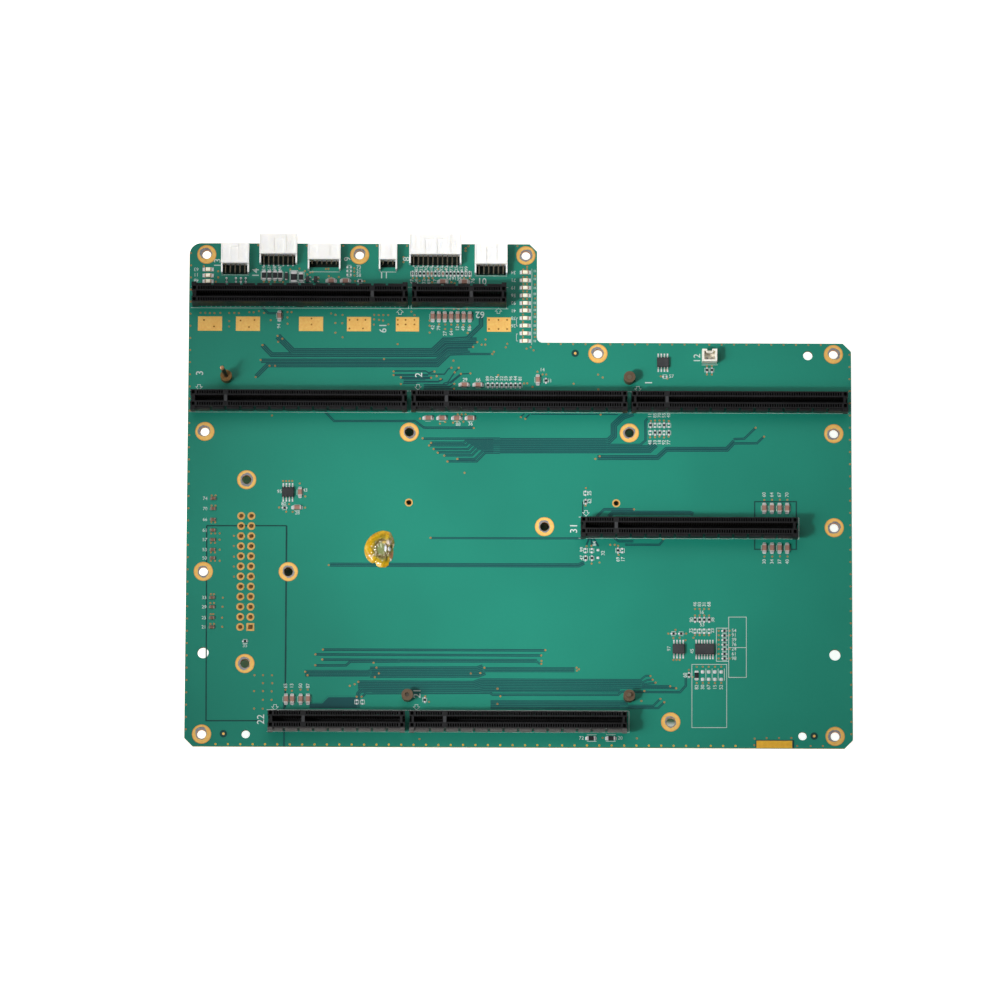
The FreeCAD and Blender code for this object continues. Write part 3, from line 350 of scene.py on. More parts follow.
# slots: x0, x1, centre y, half turn
SLOTS = {"upper_long_slot": (-135.35, -46.35, 118.9, True), "upper_short_slot": (-44.5, -5.5, 118.9, True),
         "left_slot": (-135.4, -46.4, 75.1, False), "middle_slot": (-44.55, 44.45, 75.1, False),
         "right_slot": (46.2, 135.2, 75.1, False), "inner_slot": (25.35, 114.35, 22.6, False),
         "lower_short_slot": (-102.4, -46.4, -57.9, False), "lower_long_slot": (-44.6, 44.4, -57.9, False)}


def slot_material(name, kx, cy, side, painted_lit_ledge):
    """Black slot plastic: a key bar at kx painted lighter as a highlight, and painted light on the side ledge and in
    its notches.
    """
    m = Mat(name)
    f = m.noise(1200.0, 3.0, 0.6)
    g = m.noise(60.0, 4.0, 0.6)
    d = m.noise(2600.0, 2.0, 0.7)
    col = m.mix(m.span(g, 0.0, 1.0, 0.35, 0.7), srgb(16, 16, 17), srgb(25, 25, 27))
    col = m.mix(m.span(f, 0.0, 0.35, 0.4, 0.75), col, srgb(36, 36, 38))
    col = m.mix(m.span(d, 0.0, 0.3, 0.66, 0.78), col, (0.08, 0.08, 0.08, 1))
    sep = m.node("ShaderNodeSeparateXYZ")
    m.link(m.obj(), sep.inputs[0])
    # painted highlight: the key bar is coloured a lighter grey
    bx = m.math("LESS_THAN", m.math("ABSOLUTE", m.math("SUBTRACT", sep.outputs["X"], kx * MM)), 0.0006)
    by = m.math("LESS_THAN", m.math("ABSOLUTE", m.math("SUBTRACT", sep.outputs["Y"], cy * MM)), 0.0013)
    col = m.mix(m.math("MULTIPLY", bx, by), col, srgb(58, 59, 61))
    out = m.math("MULTIPLY", m.math("SUBTRACT", sep.outputs["Y"], cy * MM), side)
    ledge = m.span(out, 0.0, 1.0, 0.0034, 0.0037)
    # painted light: the side ledge is coloured lighter grey, strongly on the lower slots and faintly low down on the
    # others
    if painted_lit_ledge:
        painted_ledge_light = m.mix(m.span(d, 0.0, 1.0, 0.3, 0.7), srgb(70, 69, 68), srgb(108, 106, 103))
        col = m.mix(m.math("MULTIPLY", ledge, 0.85), col, painted_ledge_light)
    else:
        low = m.math("LESS_THAN", sep.outputs["Z"], (TOP + 9.0) * MM)
        col = m.mix(m.math("MULTIPLY", m.math("MULTIPLY", ledge, low), 0.12), col, srgb(96, 96, 94))
    m.set(Base_Color=col, Roughness=m.span(f, 0.4, 0.58, 0.3, 0.7), Specular_IOR_Level=0.32)
    m.bump(f, 0.18, 0.00003)
    return m.m


use("board", M_BOARD)
for k, (x0, x1, y, turned) in SLOTS.items():
    kx = x1 - 14.5 if turned else x0 + 14.5
    use(k + "_housing", slot_material(k + "_plastic", kx, y, 1.0 if turned else -1.0, k.startswith("lower")))
    use(k + "_contacts", M_CONTACT)
for n in NODES:
    if n.endswith("_way_header_housing"):
        use(n, M_NYLON)
    elif n.endswith("_way_header_pins"):
        use(n, M_HPIN)
for n, mat in (("upright_header_housing", M_UPRIGHT), ("upright_header_pins", M_TIN), ("power_header_housing", M_POWER),
               ("power_header_pins", M_PPIN), ("guide_collars", M_COLLAR), ("short_guide_pins", M_PIN),
               ("bent_guide_pin", M_BENT), ("eight_lead_chip_bodies", M_CHIP), ("eight_lead_chip_leads", M_LEAD),
               ("fourteen_lead_chip_body", M_CHIP), ("fourteen_lead_chip_leads", M_LEAD), ("led_bases", M_LEDBASE),
               ("led_lenses", M_LENS), ("led_terminals", M_TERM), ("capacitor_bodies", M_CAP),
               ("capacitor_end_caps", M_CAPEND), ("resistor_bodies", M_RES), ("resistor_end_caps", M_SOLDER),
               ("fuse_bodies", M_RES), ("fuse_end_caps", M_SOLDER), ("small_black_chip_bodies", M_CHIP),
               ("small_black_chip_leads", M_LEAD)):
    use(n, mat)


# ------------------------------------------------------------ flat geometry
class Plates:
    """Collects flat closed plates in one mesh. Places in mm."""

    def __init__(self, name, mat, z0, z1, slot=None):
        self.name, self.mat, self.z0, self.z1, self.slot = name, mat, z0, z1, slot
        self.v, self.f = [], []

    def poly(self, pts, z0=None, z1=None):
        z0 = self.z0 if z0 is None else z0
        z1 = self.z1 if z1 is None else z1
        area = sum(pts[i][0] * pts[(i + 1) % len(pts)][1] - pts[(i + 1) % len(pts)][0] * pts[i][1] for i in range(len(pts)))
        if area < 0:
            pts = pts[::-1]
        n, o = len(pts), len(self.v)
        self.v += [(x, y, z0) for x, y in pts] + [(x, y, z1) for x, y in pts]
        self.f.append(tuple(range(o + n - 1, o - 1, -1)))
        self.f.append(tuple(range(o + n, o + 2 * n)))
        for i in range(n):
            j = (i + 1) % n
            self.f.append((o + i, o + j, o + n + j, o + n + i))

    def rect(self, x0, y0, x1, y1, **kw):
        self.poly([(x0, y0), (x1, y0), (x1, y1), (x0, y1)], **kw)

    def disc(self, x, y, r, n=20, **kw):
        self.poly([(x + r * math.cos(2 * math.pi * i / n), y + r * math.sin(2 * math.pi * i / n)) for i in range(n)], **kw)

    def ring(self, x, y, r0, r1, n=40, z0=None, z1=None, inner=None, outer=None):
        z0 = self.z0 if z0 is None else z0
        z1 = self.z1 if z1 is None else z1
        o = len(self.v)
        for r, z, fn in ((r0, z0, inner), (r1, z0, outer), (r1, z1, outer), (r0, z1, inner)):
            for i in range(n):
                a = 2 * math.pi * i / n
                rr = fn(a) if fn else r
                self.v.append((x + rr * math.cos(a), y + rr * math.sin(a), z))
        for k in range(4):
            for i in range(n):
                j = (i + 1) % n
                k2 = (k + 1) % 4
                self.f.append((o + k * n + i, o + k * n + j, o + k2 * n + j, o + k2 * n + i))

    def line(self, pts, w, closed=False, z1=None):
        """An even ribbon along a run of points, mitred at the corners."""
        z1 = self.z1 if z1 is None else z1
        if closed:
            pts = pts + [pts[0]]
        n = len(pts)
        left, right = [], []
        for i in range(n):
            a = pts[max(i - 1, 0)]
            b = pts[i]
            c = pts[min(i + 1, n - 1)]
            if closed and i in (0, n - 1):
                a, c = pts[-2], pts[1]
            d1 = (b[0] - a[0], b[1] - a[1])
            d2 = (c[0] - b[0], c[1] - b[1])
            if i == 0 and not closed:
                d1 = d2
            if i == n - 1 and not closed:
                d2 = d1
            l1 = math.hypot(*d1) or 1e-9
            l2 = math.hypot(*d2) or 1e-9
            n1 = (-d1[1] / l1, d1[0] / l1)
            n2 = (-d2[1] / l2, d2[0] / l2)
            m = (n1[0] + n2[0], n1[1] + n2[1])
            q = m[0] * n1[0] + m[1] * n1[1]
            k = w / 2.0 / max(q, 0.35)
            left.append((b[0] + m[0] * k, b[1] + m[1] * k))
            right.append((b[0] - m[0] * k, b[1] - m[1] * k))
        o = len(self.v)
        for i in range(n):
            for (x, y), z in ((left[i], self.z0), (right[i], self.z0), (right[i], z1), (left[i], z1)):
                self.v.append((x, y, z))
        for i in range(n - 1):
            p, q = o + 4 * i, o + 4 * (i + 1)
            for k in range(4):
                k2 = (k + 1) % 4
                self.f.append((p + k, p + k2, q + k2, q + k))
        if not closed:
            self.f.append((o + 3, o + 2, o + 1, o))
            e = o + 4 * (n - 1)
            self.f.append((e, e + 1, e + 2, e + 3))

    def mesh(self, verts, faces):
        o = len(self.v)
        self.v += verts
        self.f += [tuple(o + i for i in f) for f in faces]

    def build(self):
        me = bpy.data.meshes.new(self.name)
        me.from_pydata([(x * MM, y * MM, z * MM) for x, y, z in self.v], [], self.f)
        me.validate()
        me.update()
        import bmesh
        bm = bmesh.new()
        bm.from_mesh(me)
        bmesh.ops.recalc_face_normals(bm, faces=bm.faces)
        bm.to_mesh(me)
        bm.free()
        o = bpy.data.objects.new(self.name, me)
        SCENE.collection.objects.link(o)
        me.materials.append(self.mat)
        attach(o, "root")
        return o


LOW = TOP - 0.02
bands = Plates("trace_fields", M_BAND, LOW, TOP + 0.012, "board_laminate")
lines = Plates("trace_lines", M_TRACE, LOW, TOP + 0.03, "board_laminate")
gold = Plates("gold_lands", M_GOLD, LOW, TOP + 0.06, "contact_metal")
vias = Plates("via_lands", M_VIA, LOW, TOP + 0.056, "contact_metal")
barrels = Plates("hole_plating", M_BARREL, -0.03, TOP + 0.03, "contact_metal")
power_lands = Plates("power_lands", M_PLAND, LOW, TOP + 0.06, "contact_metal")
rims = Plates("land_rims", M_RIM, LOW, TOP + 0.068, "contact_metal")
wear = Plates("screw_wear", M_WEAR, LOW, TOP + 0.075, "tinned_pin")
silk = Plates("printed_marks", M_SILK, LOW, TOP + 0.07, "white_nylon")
tin = Plates("tinned_lands", M_SOLDER, LOW, TOP + 0.06, "tinned_pin")
solder = Plates("solder_joints", M_SOLDER, LOW, TOP + 0.1, "tinned_pin")
moat = Plates("bare_gaps", M_DARK, LOW, TOP + 0.05, "board_laminate")
edge_land = Plates("edge_land", M_EDGE, LOW, TOP + 0.06, "contact_metal")
pits = Plates("land_vias", M_BARREL, LOW, TOP + 0.072, "contact_metal")
# painted shade: dark fields under the header pin rows
shade = Plates("painted_pin_shade", M_SHADE, LOW, TOP + 0.02, "board_laminate")
dull = Plates("dull_joints", M_CAPEND, LOW, TOP + 0.1, "tinned_pin")
under = Plates("underside_joints", M_SOLDER, -0.06, 0.02, "tinned_pin")

# --------------------------------------------------- screw holes and lands
SCREW_HOLES = [
    (-129.75, 137.45), (-66.4, 137.45), (2.5, 137.45), (32.4, 96.2), (129.75, 96.2),
    (-129.75, 62.95), (-45.4, 62.95), (45.4, 62.95), (129.75, 62.95), (-112.3, 42.8),
    (10.5, 23.65), (129.75, 23.65), (-129.75, 4.5), (-94.8, 4.5), (-112.3, -33.7),
    (62.4, -57.25), (-129.75, -62.95), (129.75, -62.95)]
SCREW_WEAR = [
    (2.45, -0.35, 0.45), (2.4, -0.1, 0.45), (2.6, 0.1, 0.0), (2.5, -0.15, 0.35), (2.5, 0.3, 0.25),
    (2.45, -0.35, 0.25), (2.5, 0.15, -0.1), (2.45, -0.1, 0.1), (2.5, -0.2, -0.25), (2.75, 0.0, 0.0),
    (2.5, -0.1, 0.1), (2.6, 0.0, 0.0), (2.35, -0.1, -0.1), (2.5, 0.1, 0.05), (2.6, -0.35, 0.05),
    (2.35, -0.1, 0.05), (2.5, -0.25, 0.4), (2.55, -0.35, 0.25)]
for k, (x, y) in enumerate(SCREW_HOLES):
    gold.ring(x, y, 1.88, 3.95, 56)
    gold.ring(x, y, 1.88, 3.95, 56, -0.06, 0.02)
    barrels.ring(x, y, 1.84, 1.895, 48)
    # painted shade: a darker band round the outer edge of each land
    rims.ring(x, y, 3.68, 3.95, 56)
    # bright metal where a screw head has turned: an uneven patch round the hole
    rad, ex, ey = SCREW_WEAR[k]
    ph = [rng.uniform(0, 6.28) for _ in range(3)]

    def edge_r(a, rad=rad, ex=ex, ey=ey, ph=ph):
        q = ex * math.cos(a) + ey * math.sin(a)
        r = q + math.sqrt(rad * rad - ex * ex - ey * ey + q * q)
        r += 0.16 * math.sin(2 * a + ph[0]) + 0.09 * math.sin(5 * a + ph[1]) + 0.05 * math.sin(11 * a + ph[2])
        return max(1.98, min(3.5, r))

    wear.ring(x, y, 1.9, 2.5, 72, outer=edge_r)
for (x, y) in [(-45.4, 33.5), (40.0, 33.5)]:
    power_lands.ring(x, y, 1.1, 1.65, 32)
    power_lands.ring(x, y, 0.98, 1.65, 32, -0.06, 0.02)
    barrels.ring(x, y, 0.95, 1.1, 28)

# fiducials: a bare dot in a dark round window
for (x, y) in [(23.01, 96.3), (121.16, -62.87), (-120.8, -62.76)]:
    moat.disc(x, y, 1.55, 28)
    gold.disc(x, y, 0.55, 18)

# bare rectangular lands in a row under the upper slots
for (x0, x1) in [(-133.1, -123.1), (-117.4, -107.4), (-91.3, -81.3), (-71.45, -61.5), (-51.2, -41.6), (-13.5, -3.6)]:
    gold.rect(x0, 105.25, x1, 111.3)
for (x, y) in [(397.8, 319.9), (405.6, 319.9), (414.4, 319.9), (397.8, 324.5), (405.6, 324.5), (414.4, 324.5),
               (489, 319.9), (498.5, 319.9), (507.1, 319.9), (489, 329), (498.5, 329), (507.1, 329),
               (349.5, 319.9), (357.5, 319.9), (365.5, 319.9), (349.5, 328.5), (363, 328.5), (311.5, 318.5), (311.5, 324.5),
               (240.5, 320.5), (249, 327), (254.5, 320), (204, 320), (214, 326.5)]:
    X, Y = px(x, y)
    pits.disc(X, Y, 0.38, 16)
# land at the lower edge, running out to the edge of the board
moat.rect(97.1, -67.8, 113.0, -64.5)
edge_land.rect(97.5, -67.84, 112.15, -64.85)

# power pins: round lands, the last one square, each with a plated ring round its pin
POWER_AT = (-112.3, 4.55)
for sx in (-1, 1):
    for j in range(12):
        x, y = POWER_AT[0] + sx * 2.1, POWER_AT[1] + (j - 5.5) * 4.2
        if sx == 1 and j == 0:
            for (u0, v0, u1, v1_) in ((-1.6, -1.6, 1.6, -0.9), (-1.6, 0.9, 1.6, 1.6), (-1.6, -0.9, -0.9, 0.9), (0.9, -0.9, 1.6, 0.9)):
                power_lands.rect(x + u0, y + v0, x + u1, y + v1_)
        else:
            power_lands.ring(x, y, 0.9, 1.6, 32)
        pits.ring(x, y, 0.42, 1.02, 24, z1=TOP + 0.05)

# ------------------------------------------------------------------- vias
VIAS = [
    (-48.2, 136.6), (-22.5, 139.3), (-109.3, 131.2), (-91.3, 131.6), (-86.8, 130.0), (-80.3, 131.5), (-79.3, 131.5),
    (-68.6, 131.8), (-68.6, 130.4), (-48.2, 134.5), (-106.7, 127.8), (-83.4, 127.5), (-79.1, 128.4), (-74.9, 128.1),
    (-68.5, 128.8), (-132.1, 112.8), (-130.1, 112.8), (-128.2, 112.7), (-126.3, 112.7), (-123.9, 112.8), (-120.2, 112.8),
    (-118.1, 112.8), (-116.2, 112.7), (-111.9, 113.1), (-110.1, 113.1), (-107.9, 113.6), (-105.8, 112.8),
    (-96.1, 113.2), (-94.4, 113.2), (-78.0, 112.7), (-76.2, 112.1), (-73.3, 112.1), (-60.2, 112.2), (-58.3, 112.1),
    (-56.4, 112.1), (-54.4, 112.1), (-44.8, 113.6), (-43.5, 112.1), (-120.2, 109.3), (-120.2, 107.1), (-103.0, 109.8),
    (-96.1, 111.0), (-96.0, 108.3), (-76.2, 108.7), (-73.4, 108.6), (-60.3, 108.1), (-60.2, 110.3), (-58.1, 110.1),
    (-56.5, 109.8), (-54.3, 108.2), (-20.7, 107.8), (-106.3, 99.3), (-100.1, 103.2), (-99.8, 100.7), (-98.1, 102.0),
    (-76.2, 104.6), (-73.2, 102.7), (-50.4, 99.9), (-37.2, 104.8), (-21.5, 104.7), (-17.5, 100.9), (-15.7, 99.8),
    (-14.2, 99.8), (-14.1, 102.0), (-5.1, 100.2), (-56.0, 93.6), (-27.3, 93.0), (-19.2, 98.8), (-11.2, 95.9),
    (-10.6, 96.8), (-5.7, 98.7), (2.9, 98.2), (4.6, 98.8), (5.8, 97.5), (-107.0, 93.0), (-103.3, 90.6), (-101.0, 90.6),
    (-52.0, 88.4), (-35.1, 88.4), (-28.1, 90.0), (-26.8, 88.1), (-25.1, 90.0), (-24.2, 87.5), (-20.3, 87.7), (32.5, 87.4),
    (60.8, 89.5), (77.5, 89.6), (-109.0, 85.8), (-52.0, 86.9), (-49.0, 85.9), (-49.0, 83.1), (-36.5, 85.8), (-34.2, 86.5),
    (-32.6, 85.3), (-26.9, 83.3), (-8.8, 87.0), (1.9, 83.6), (3.2, 83.6), (22.4, 83.5), (32.6, 81.2), (34.4, 86.2),
    (61.1, 85.8), (0.6, 69.4), (33.5, 70.6), (-41.0, 68.6), (-32.7, 66.6), (-30.6, 67.3), (-27.3, 67.0), (-18.8, 64.8),
    (54.3, 68.0), (61.7, 68.0), (97.5, 65.3), (-39.9, 60.4), (-37.2, 57.4), (-36.4, 58.5), (56.0, 61.2), (57.8, 61.5),
    (61.6, 61.5), (101.0, 61.6), (-35.3, 55.9), (-33.6, 54.4), (-30.9, 53.2), (-25.5, 51.8), (31.4, 52.0), (33.2, 53.1),
    (-29.6, 50.7), (-22.5, 46.0), (101.0, 35.1), (104.2, 35.2), (107.4, 35.2), (110.5, 35.2), (27.4, 32.5), (47.4, 31.0),
    (-117.3, 19.3), (-117.3, 15.1), (-36.4, 18.8), (27.8, 15.5), (39.4, 16.2), (40.8, 15.8), (59.5, 18.7), (-117.2, 10.7),
    (41.0, 12.0), (101.0, 11.5), (104.2, 11.5), (107.4, 11.6), (110.5, 11.6), (-117.2, 6.6), (-78.2, 7.3), (29.9, 8.3),
    (33.1, 8.8), (-117.1, 2.4), (-126.5, -5.0), (-125.3, -5.0), (-121.6, -6.4), (-126.5, -13.3), (-125.5, -13.2),
    (-121.8, -14.7), (-121.7, -10.2), (-121.7, -18.5), (-83.4, -29.8), (-80.5, -31.9), (-80.3, -27.8), (9.3, -29.9),
    (9.4, -32.2), (11.0, -27.7), (-108.3, -38.5), (-104.8, -38.5), (-101.1, -38.5), (-87.5, -37.0), (-86.5, -38.5),
    (-83.4, -34.3), (-59.5, -33.2), (-58.3, -35.2), (-57.3, -37.6), (-19.6, -37.5), (-15.7, -37.3), (-14.0, -35.1),
    (23.9, -36.2), (24.7, -35.6), (54.1, -38.3), (-104.8, -41.8), (-101.0, -41.8), (-95.5, -44.5), (-92.9, -44.9),
    (-89.4, -44.4), (-86.4, -44.4), (-69.2, -42.8), (-67.2, -42.1), (-65.7, -41.1), (-58.9, -39.2), (-8.6, -43.8),
    (51.6, -44.5), (55.0, -39.8), (56.2, -41.0), (62.2, -42.5), (64.6, -43.3), (-108.4, -45.1), (-104.7, -48.7),
    (-104.7, -45.1), (-101.2, -45.2), (-101.2, -48.7), (-66.3, -47.3), (-64.3, -47.3), (-38.3, -47.0), (-36.7, -49.3),
    (-8.6, -50.0), (-7.4, -46.9), (50.4, -48.6), (58.2, -47.7), (59.8, -49.1), (-108.3, -52.3), (-104.8, -52.4),
    (-101.1, -52.9), (-40.5, -64.7), (34.5, -63.9), (48.5, -64.1), (96.8, -64.0)]
# stitching along the edges of the board
y = -62.0
while y < 97.0:
    VIAS.append((136.4, y))
    y += 5.1
y = -61.0
while y < 133.0:
    VIAS.append((-136.2, y))
    y += 5.1
x = -124.0
while x < 92.0:
    edge_land.ring(x, -67.05, 0.13, 0.44, 14)
    x += 5.07
VIAS += [(114.2, -66.95), (119.7, -67.0), (124.7, -66.95)]
for q in (px(766.6, 738.1), px(779.0, 738.1), px(791.4, 738.1), px(754.3, 745.1)):
    if all(math.dist(q[:2], v) > 1.2 for v in VIAS):
        VIAS.append((q[0], q[1]))
x = 11.9
while x < 126.0:
    VIAS.append((x, 100.15))
    x += 5.12


def crop(ox, oy, k):
    return lambda *pts: [(ox + x / k, oy + y / k) for x, y in pts]


INNER, LOWER, MIDDLE = crop(576, 484, 12.0), crop(664, 598, 8.0), crop(440, 368, 11.0)
TRIO, CHIP, CORNER = crop(338, 258, 14.0), crop(266, 476, 11.0), crop(270, 684, 11.0)
COLUMN, COLUMN2 = crop(200, 488, 9.0), crop(200, 566, 9.0)
MORE = [(258.2, 245.2), (306.9, 245.6), (343.2, 245.8), (376.9, 245.8), (407.1, 245.8), (468.5, 246.1), (517.5, 246.1),
        (465.6, 248.3), (466, 251.4), (527.1, 266.8), (191, 253), (191.8, 265.2), (203.8, 266.3), (218.2, 271.3),
        (218.2, 277.4), (215.8, 281.7), (263.8, 281.7), (269.1, 281.9), (274.7, 281.7), (279.6, 281.1), (283.2, 281.9),
        (290.2, 269.4), (299.7, 268.6), (304.9, 271), (307.4, 274.4), (309.9, 273), (312.7, 271.9), (325.7, 268.3),
        (329.1, 268.3), (328.2, 275.2), (331.3, 278), (319.9, 277.4), (429.6, 320.5), (429.6, 325.7), (439, 324.4),
        (445.2, 324.5), (451.3, 324.5), (457.5, 324.9), (463.5, 324.9), (469.6, 324.9), (445.2, 329.1), (451.3, 329.3),
        (443.8, 308.9), (453.8, 309), (458.4, 309), (467, 308.8), (602.2, 737.7), (660.7, 376.4), (667.5, 379.9),
        (706.9, 366), (711.8, 366), (706.9, 374.5), (711.8, 374.5)]
MORE += [(348 + x / 9.0, 258 + y / 9.0) for x, y in ((585, 182), (620, 182), (645, 205), (685, 182), (727, 182), (762, 182), (757, 218),
                                                    (1045, 182), (1097, 182), (930, 218), (960, 228), (810, 100), (880, 100))]
MORE += [(x, y) for x in (650, 655, 659.5, 664, 668.7) for y in (420.5, 437.4)]
MORE += INNER((118, 50), (118, 268), (128, 740), (185, 742), (410, 730), (458, 728), (505, 733), (512, 855))
MORE += LOWER((35, 285), (92, 255), (75, 320), (125, 318), (178, 285), (172, 338), (235, 318), (75, 495), (100, 495), (125, 495),
              (200, 575), (228, 632), (48, 703), (95, 718))
MORE += LOWER(*[(x, y) for x in (248, 285, 322, 360) for y in (88, 140, 297)])
MORE += LOWER(*[(437, y) for y in (262, 298, 335, 372, 408, 447, 484)]) + LOWER(*[(525, y) for y in (262, 298, 408, 484)])
MORE += LOWER(*[(x, y) for x in (262, 310, 358, 408, 458) for y in (550, 680)])
MORE += MIDDLE((160, 45), (232, 62), (338, 60), (640, 70), (155, 170), (155, 228), (925, 165), (965, 170), (1018, 208), (1072, 42),
               (1128, 72), (1168, 72), (8, 118), (885, 540), (938, 560), (372, 660), (196, 510), (238, 510), (283, 510),
               (188, 588), (258, 590), (140, 610), (65, 610))
MORE += [(541.4, 663.8), (576.7, 667.8), (576.7, 671.7), (497.5, 702.8), (272.0, 415.6)]
MORE += TRIO((230, 140), (230, 188), (230, 242), (240, 325), (370, 325))
MORE += CHIP((187, 56), (222, 56), (256, 56), (290, 56), (372, 83), (432, 224), (255, 309), (145, 346), (222, 394), (293, 394), (430, 348))
MORE += CORNER((172, 66), (240, 66), (337, 66), (418, 66), (20, 79), (20, 174), (20, 271))
MORE += COLUMN((105, 68), (140, 68), (105, 158), (140, 158), (103, 308), (137, 308), (100, 408), (137, 408), (177, 408), (98, 493),
               (135, 493), (177, 465), (98, 580), (135, 580), (177, 555), (98, 655), (135, 655), (177, 655))
MORE += COLUMN2(*[(x, y) for x in (94, 126) for y in (250, 333, 428, 520)]) + COLUMN2(*[(204, y) for y in (285, 367, 465, 547)])
# beside the lamps
MORE += [(x, y) for y in (269.5, 277, 284, 291.5, 299, 307) for x in (523.3, 527.0)] + [(523, y) for y in (314.5, 322, 330, 337)]
MORE += [(535, y) for y in (276, 284.5, 298.5, 307, 314, 321.5, 329.5, 337)]
for q in MORE:
    q = px(*q)
    if all(math.dist(q, v) > 0.75 for v in VIAS):
        VIAS.append(q)
for (x, y) in VIAS:
    vias.ring(x, y, 0.15, 0.40, 14)

# ------------------------------------------------------------------ traces


RUNS = []


def run(pts_px, count, pitch_px, field=None, w=0.22):
    """A bundle of parallel traces in a dark field, given by its centre line in photo pixels."""
    pts_px = [p for i, p in enumerate(pts_px) if i == 0 or math.dist(p, pts_px[i - 1]) > 0.05]
    n = len(pts_px)
    if field is None:
        field = (count - 1) * pitch_px + 3.2
    c = [px(*p) for p in pts_px]
    level = len(RUNS) % 12
    RUNS.append(n)
    bands.line(c, field / 2.43, z1=TOP + 0.010 + 0.0015 * level)
    for k in range(count):
        off = (k - (count - 1) / 2.0) * pitch_px / 2.43
        out = []
        for i in range(n):
            a = c[max(i - 1, 0)]
            b = c[i]
            d = c[min(i + 1, n - 1)]
            d1 = (b[0] - a[0], b[1] - a[1]) if i else (d[0] - b[0], d[1] - b[1])
            d2 = (d[0] - b[0], d[1] - b[1]) if i < n - 1 else d1
            l1, l2 = math.hypot(*d1), math.hypot(*d2)
            n1, n2 = (-d1[1] / l1, d1[0] / l1), (-d2[1] / l2, d2[0] / l2)
            m = (n1[0] + n2[0], n1[1] + n2[1])
            q = off / (m[0] * n1[0] + m[1] * n1[1])
            out.append((b[0] + m[0] * q, b[1] + m[1] * q))
        lines.line(out, w, z1=TOP + 0.030 + 0.0015 * level)


def v1(*pts):
    return [(180 + x / 3.0, 230 + y / 3.0) for x, y in pts]


def v2(*pts):
    return [(500 + x / 3.0, 330 + y / 3.0) for x, y in pts]


def v3(*pts):
    return [(180 + x / 3.0, 533.33 + y / 3.0) for x, y in pts]


def v4(*pts):
    return [(500 + x / 3.0, 533.33 + y / 3.0) for x, y in pts]


# upper field, left to right between the slot rows
run(v1((293, 318), (339, 364), (758, 364), (792, 332), (890, 332)), 3, 1.7)
run(v1((247, 345), (275, 374), (768, 374), (800, 347), (880, 347)), 2, 1.7)
run([(261.0, 360.8), (436.7, 360.8), (448.4, 350.2), (468.0, 350.0)], 2, 1.8, 4.6)
run([(256.0, 376.6), (267.4, 365.1), (437.4, 365.0), (449.4, 353.4), (470.0, 352.8)], 2, 1.8, 4.6)
run([(445.0, 357.4), (449.0, 354.0), (490.6, 354.0)], 1, 1.0, 2.4)
run(v1((903, 255), (903, 286), (862, 326)), 2, 1.5)
run(v1((862, 326), (800, 330)), 2, 1.5)
run([(262, 307), (268.3, 313.3), (278.3, 313.3)], 1, 1.0, 2.2)
# field by the middle slot: single gaps with copper between them


def gap(pts, w):
    bands.line([px(*q) for q in pts], w, z1=TOP + 0.010 + 0.0015 * (len(RUNS) % 12))
    RUNS.append(0)


BYSLOT = crop(388, 366, 8.0)
for pts, w in ((((45, 40), (300, 40), (325, 55), (368, 42)), 0.55), (((45, 72), (322, 72)), 0.8), (((105, 95), (345, 95)), 1.05),
               (((125, 125), (402, 125), (440, 105)), 0.75), (((322, 64), (450, 66), (482, 24), (505, 14)), 0.55),
               (((128, 110), (300, 110)), 0.3), (((285, 150), (470, 150), (583, 62)), 0.6), (((285, 166), (490, 166), (528, 142)), 0.6),
               (((440, 140), (480, 128), (532, 52), (566, 18)), 0.55), (((500, 140), (590, 64), (655, 60)), 0.5),
               (((285, 183), (528, 183)), 0.6), (((120, 140), (230, 140)), 0.5)):
    gap(BYSLOT(*pts), w)
# bundle under the middle slot, out to the right
for (x0, y0, x1, y2) in [(728, 626, 846, 626), (753, 638, 852, 633), (747, 646, 858, 639), (761, 657, 864, 645),
                         (773, 667, 870, 651), (793, 676, 876, 657), (832, 687, 884, 662), (802, 694, 890, 668)]:
    run(v1((x0, y0), (x1, y0), (x1 + (y0 - y2) * 1.0, y2), (960, y2)), 1, 1.0, 2.4)
run(v1((940, 647), (1284, 647)), 8, 1.85, 15.6)
run([(606.0, 449.2), (649.0, 449.2), (655.0, 443.6)], 4, 1.9, 8.2)
run([(606.0, 440.9), (608.6, 440.9), (613.8, 436.0), (613.8, 425.0), (623.0, 416.6), (633.0, 413.2)], 3, 1.8, 6.4)
run([(606.0, 444.8), (640.4, 444.8), (645.4, 440.4), (645.4, 421.0), (647.6, 418.4)], 1, 2.0, 2.3)
# pair to the right
run([(597.4, 457.5), (657.4, 457.5), (666.4, 449.3), (727.0, 449.3), (734.4, 441.4)], 2, 2.4, 5.0)
run([(733.4, 439.6), (735.0, 439.0), (744.2, 438.8), (755.2, 428.2)], 1, 1.0, 2.4)
run([(734.4, 443.4), (757.0, 443.3), (763.4, 437.0)], 1, 1.0, 2.4)
for pts, w in ((((521.0, 416.4), (524.4, 413.6)), 0.6), (((525.4, 418.4), (529.6, 414.2)), 0.6), (((531.0, 414.2), (618.0, 414.4)), 0.45)):
    gap(pts, w)
# single lines
run(v1((435, 545), (462, 573), (705, 573), (732, 593), (880, 593)), 1, 1.0, 2.4)
run(v1((751, 924), (1080, 925), (1212, 925)), 1, 1.0, 2.2)
run(v3((450, 94), (1080, 96), (1196, 96), (1212, 88)), 2, 1.9, 4.2)
# round the inner slot
run(v2((290, 560), (312, 538), (402, 538)), 1, 1.0, 2.6)
run(v2((326, 560), (338, 548), (570, 548), (580, 553)), 2, 1.6, 4.0)
run([(613.9, 537.6), (618.6, 541.3), (633.5, 541.3)], 1, 1.0, 2.3)
run([(625.0, 544.6), (659.3, 544.8), (663.3, 540.2)], 1, 1.0, 2.3)
for q in ((586.4, 545.0), (591.8, 545.0), (598.6, 546.5)):
    gap([(590.8 + (q[0] - 590.8) * 0.3, 537.6), q], 0.8)
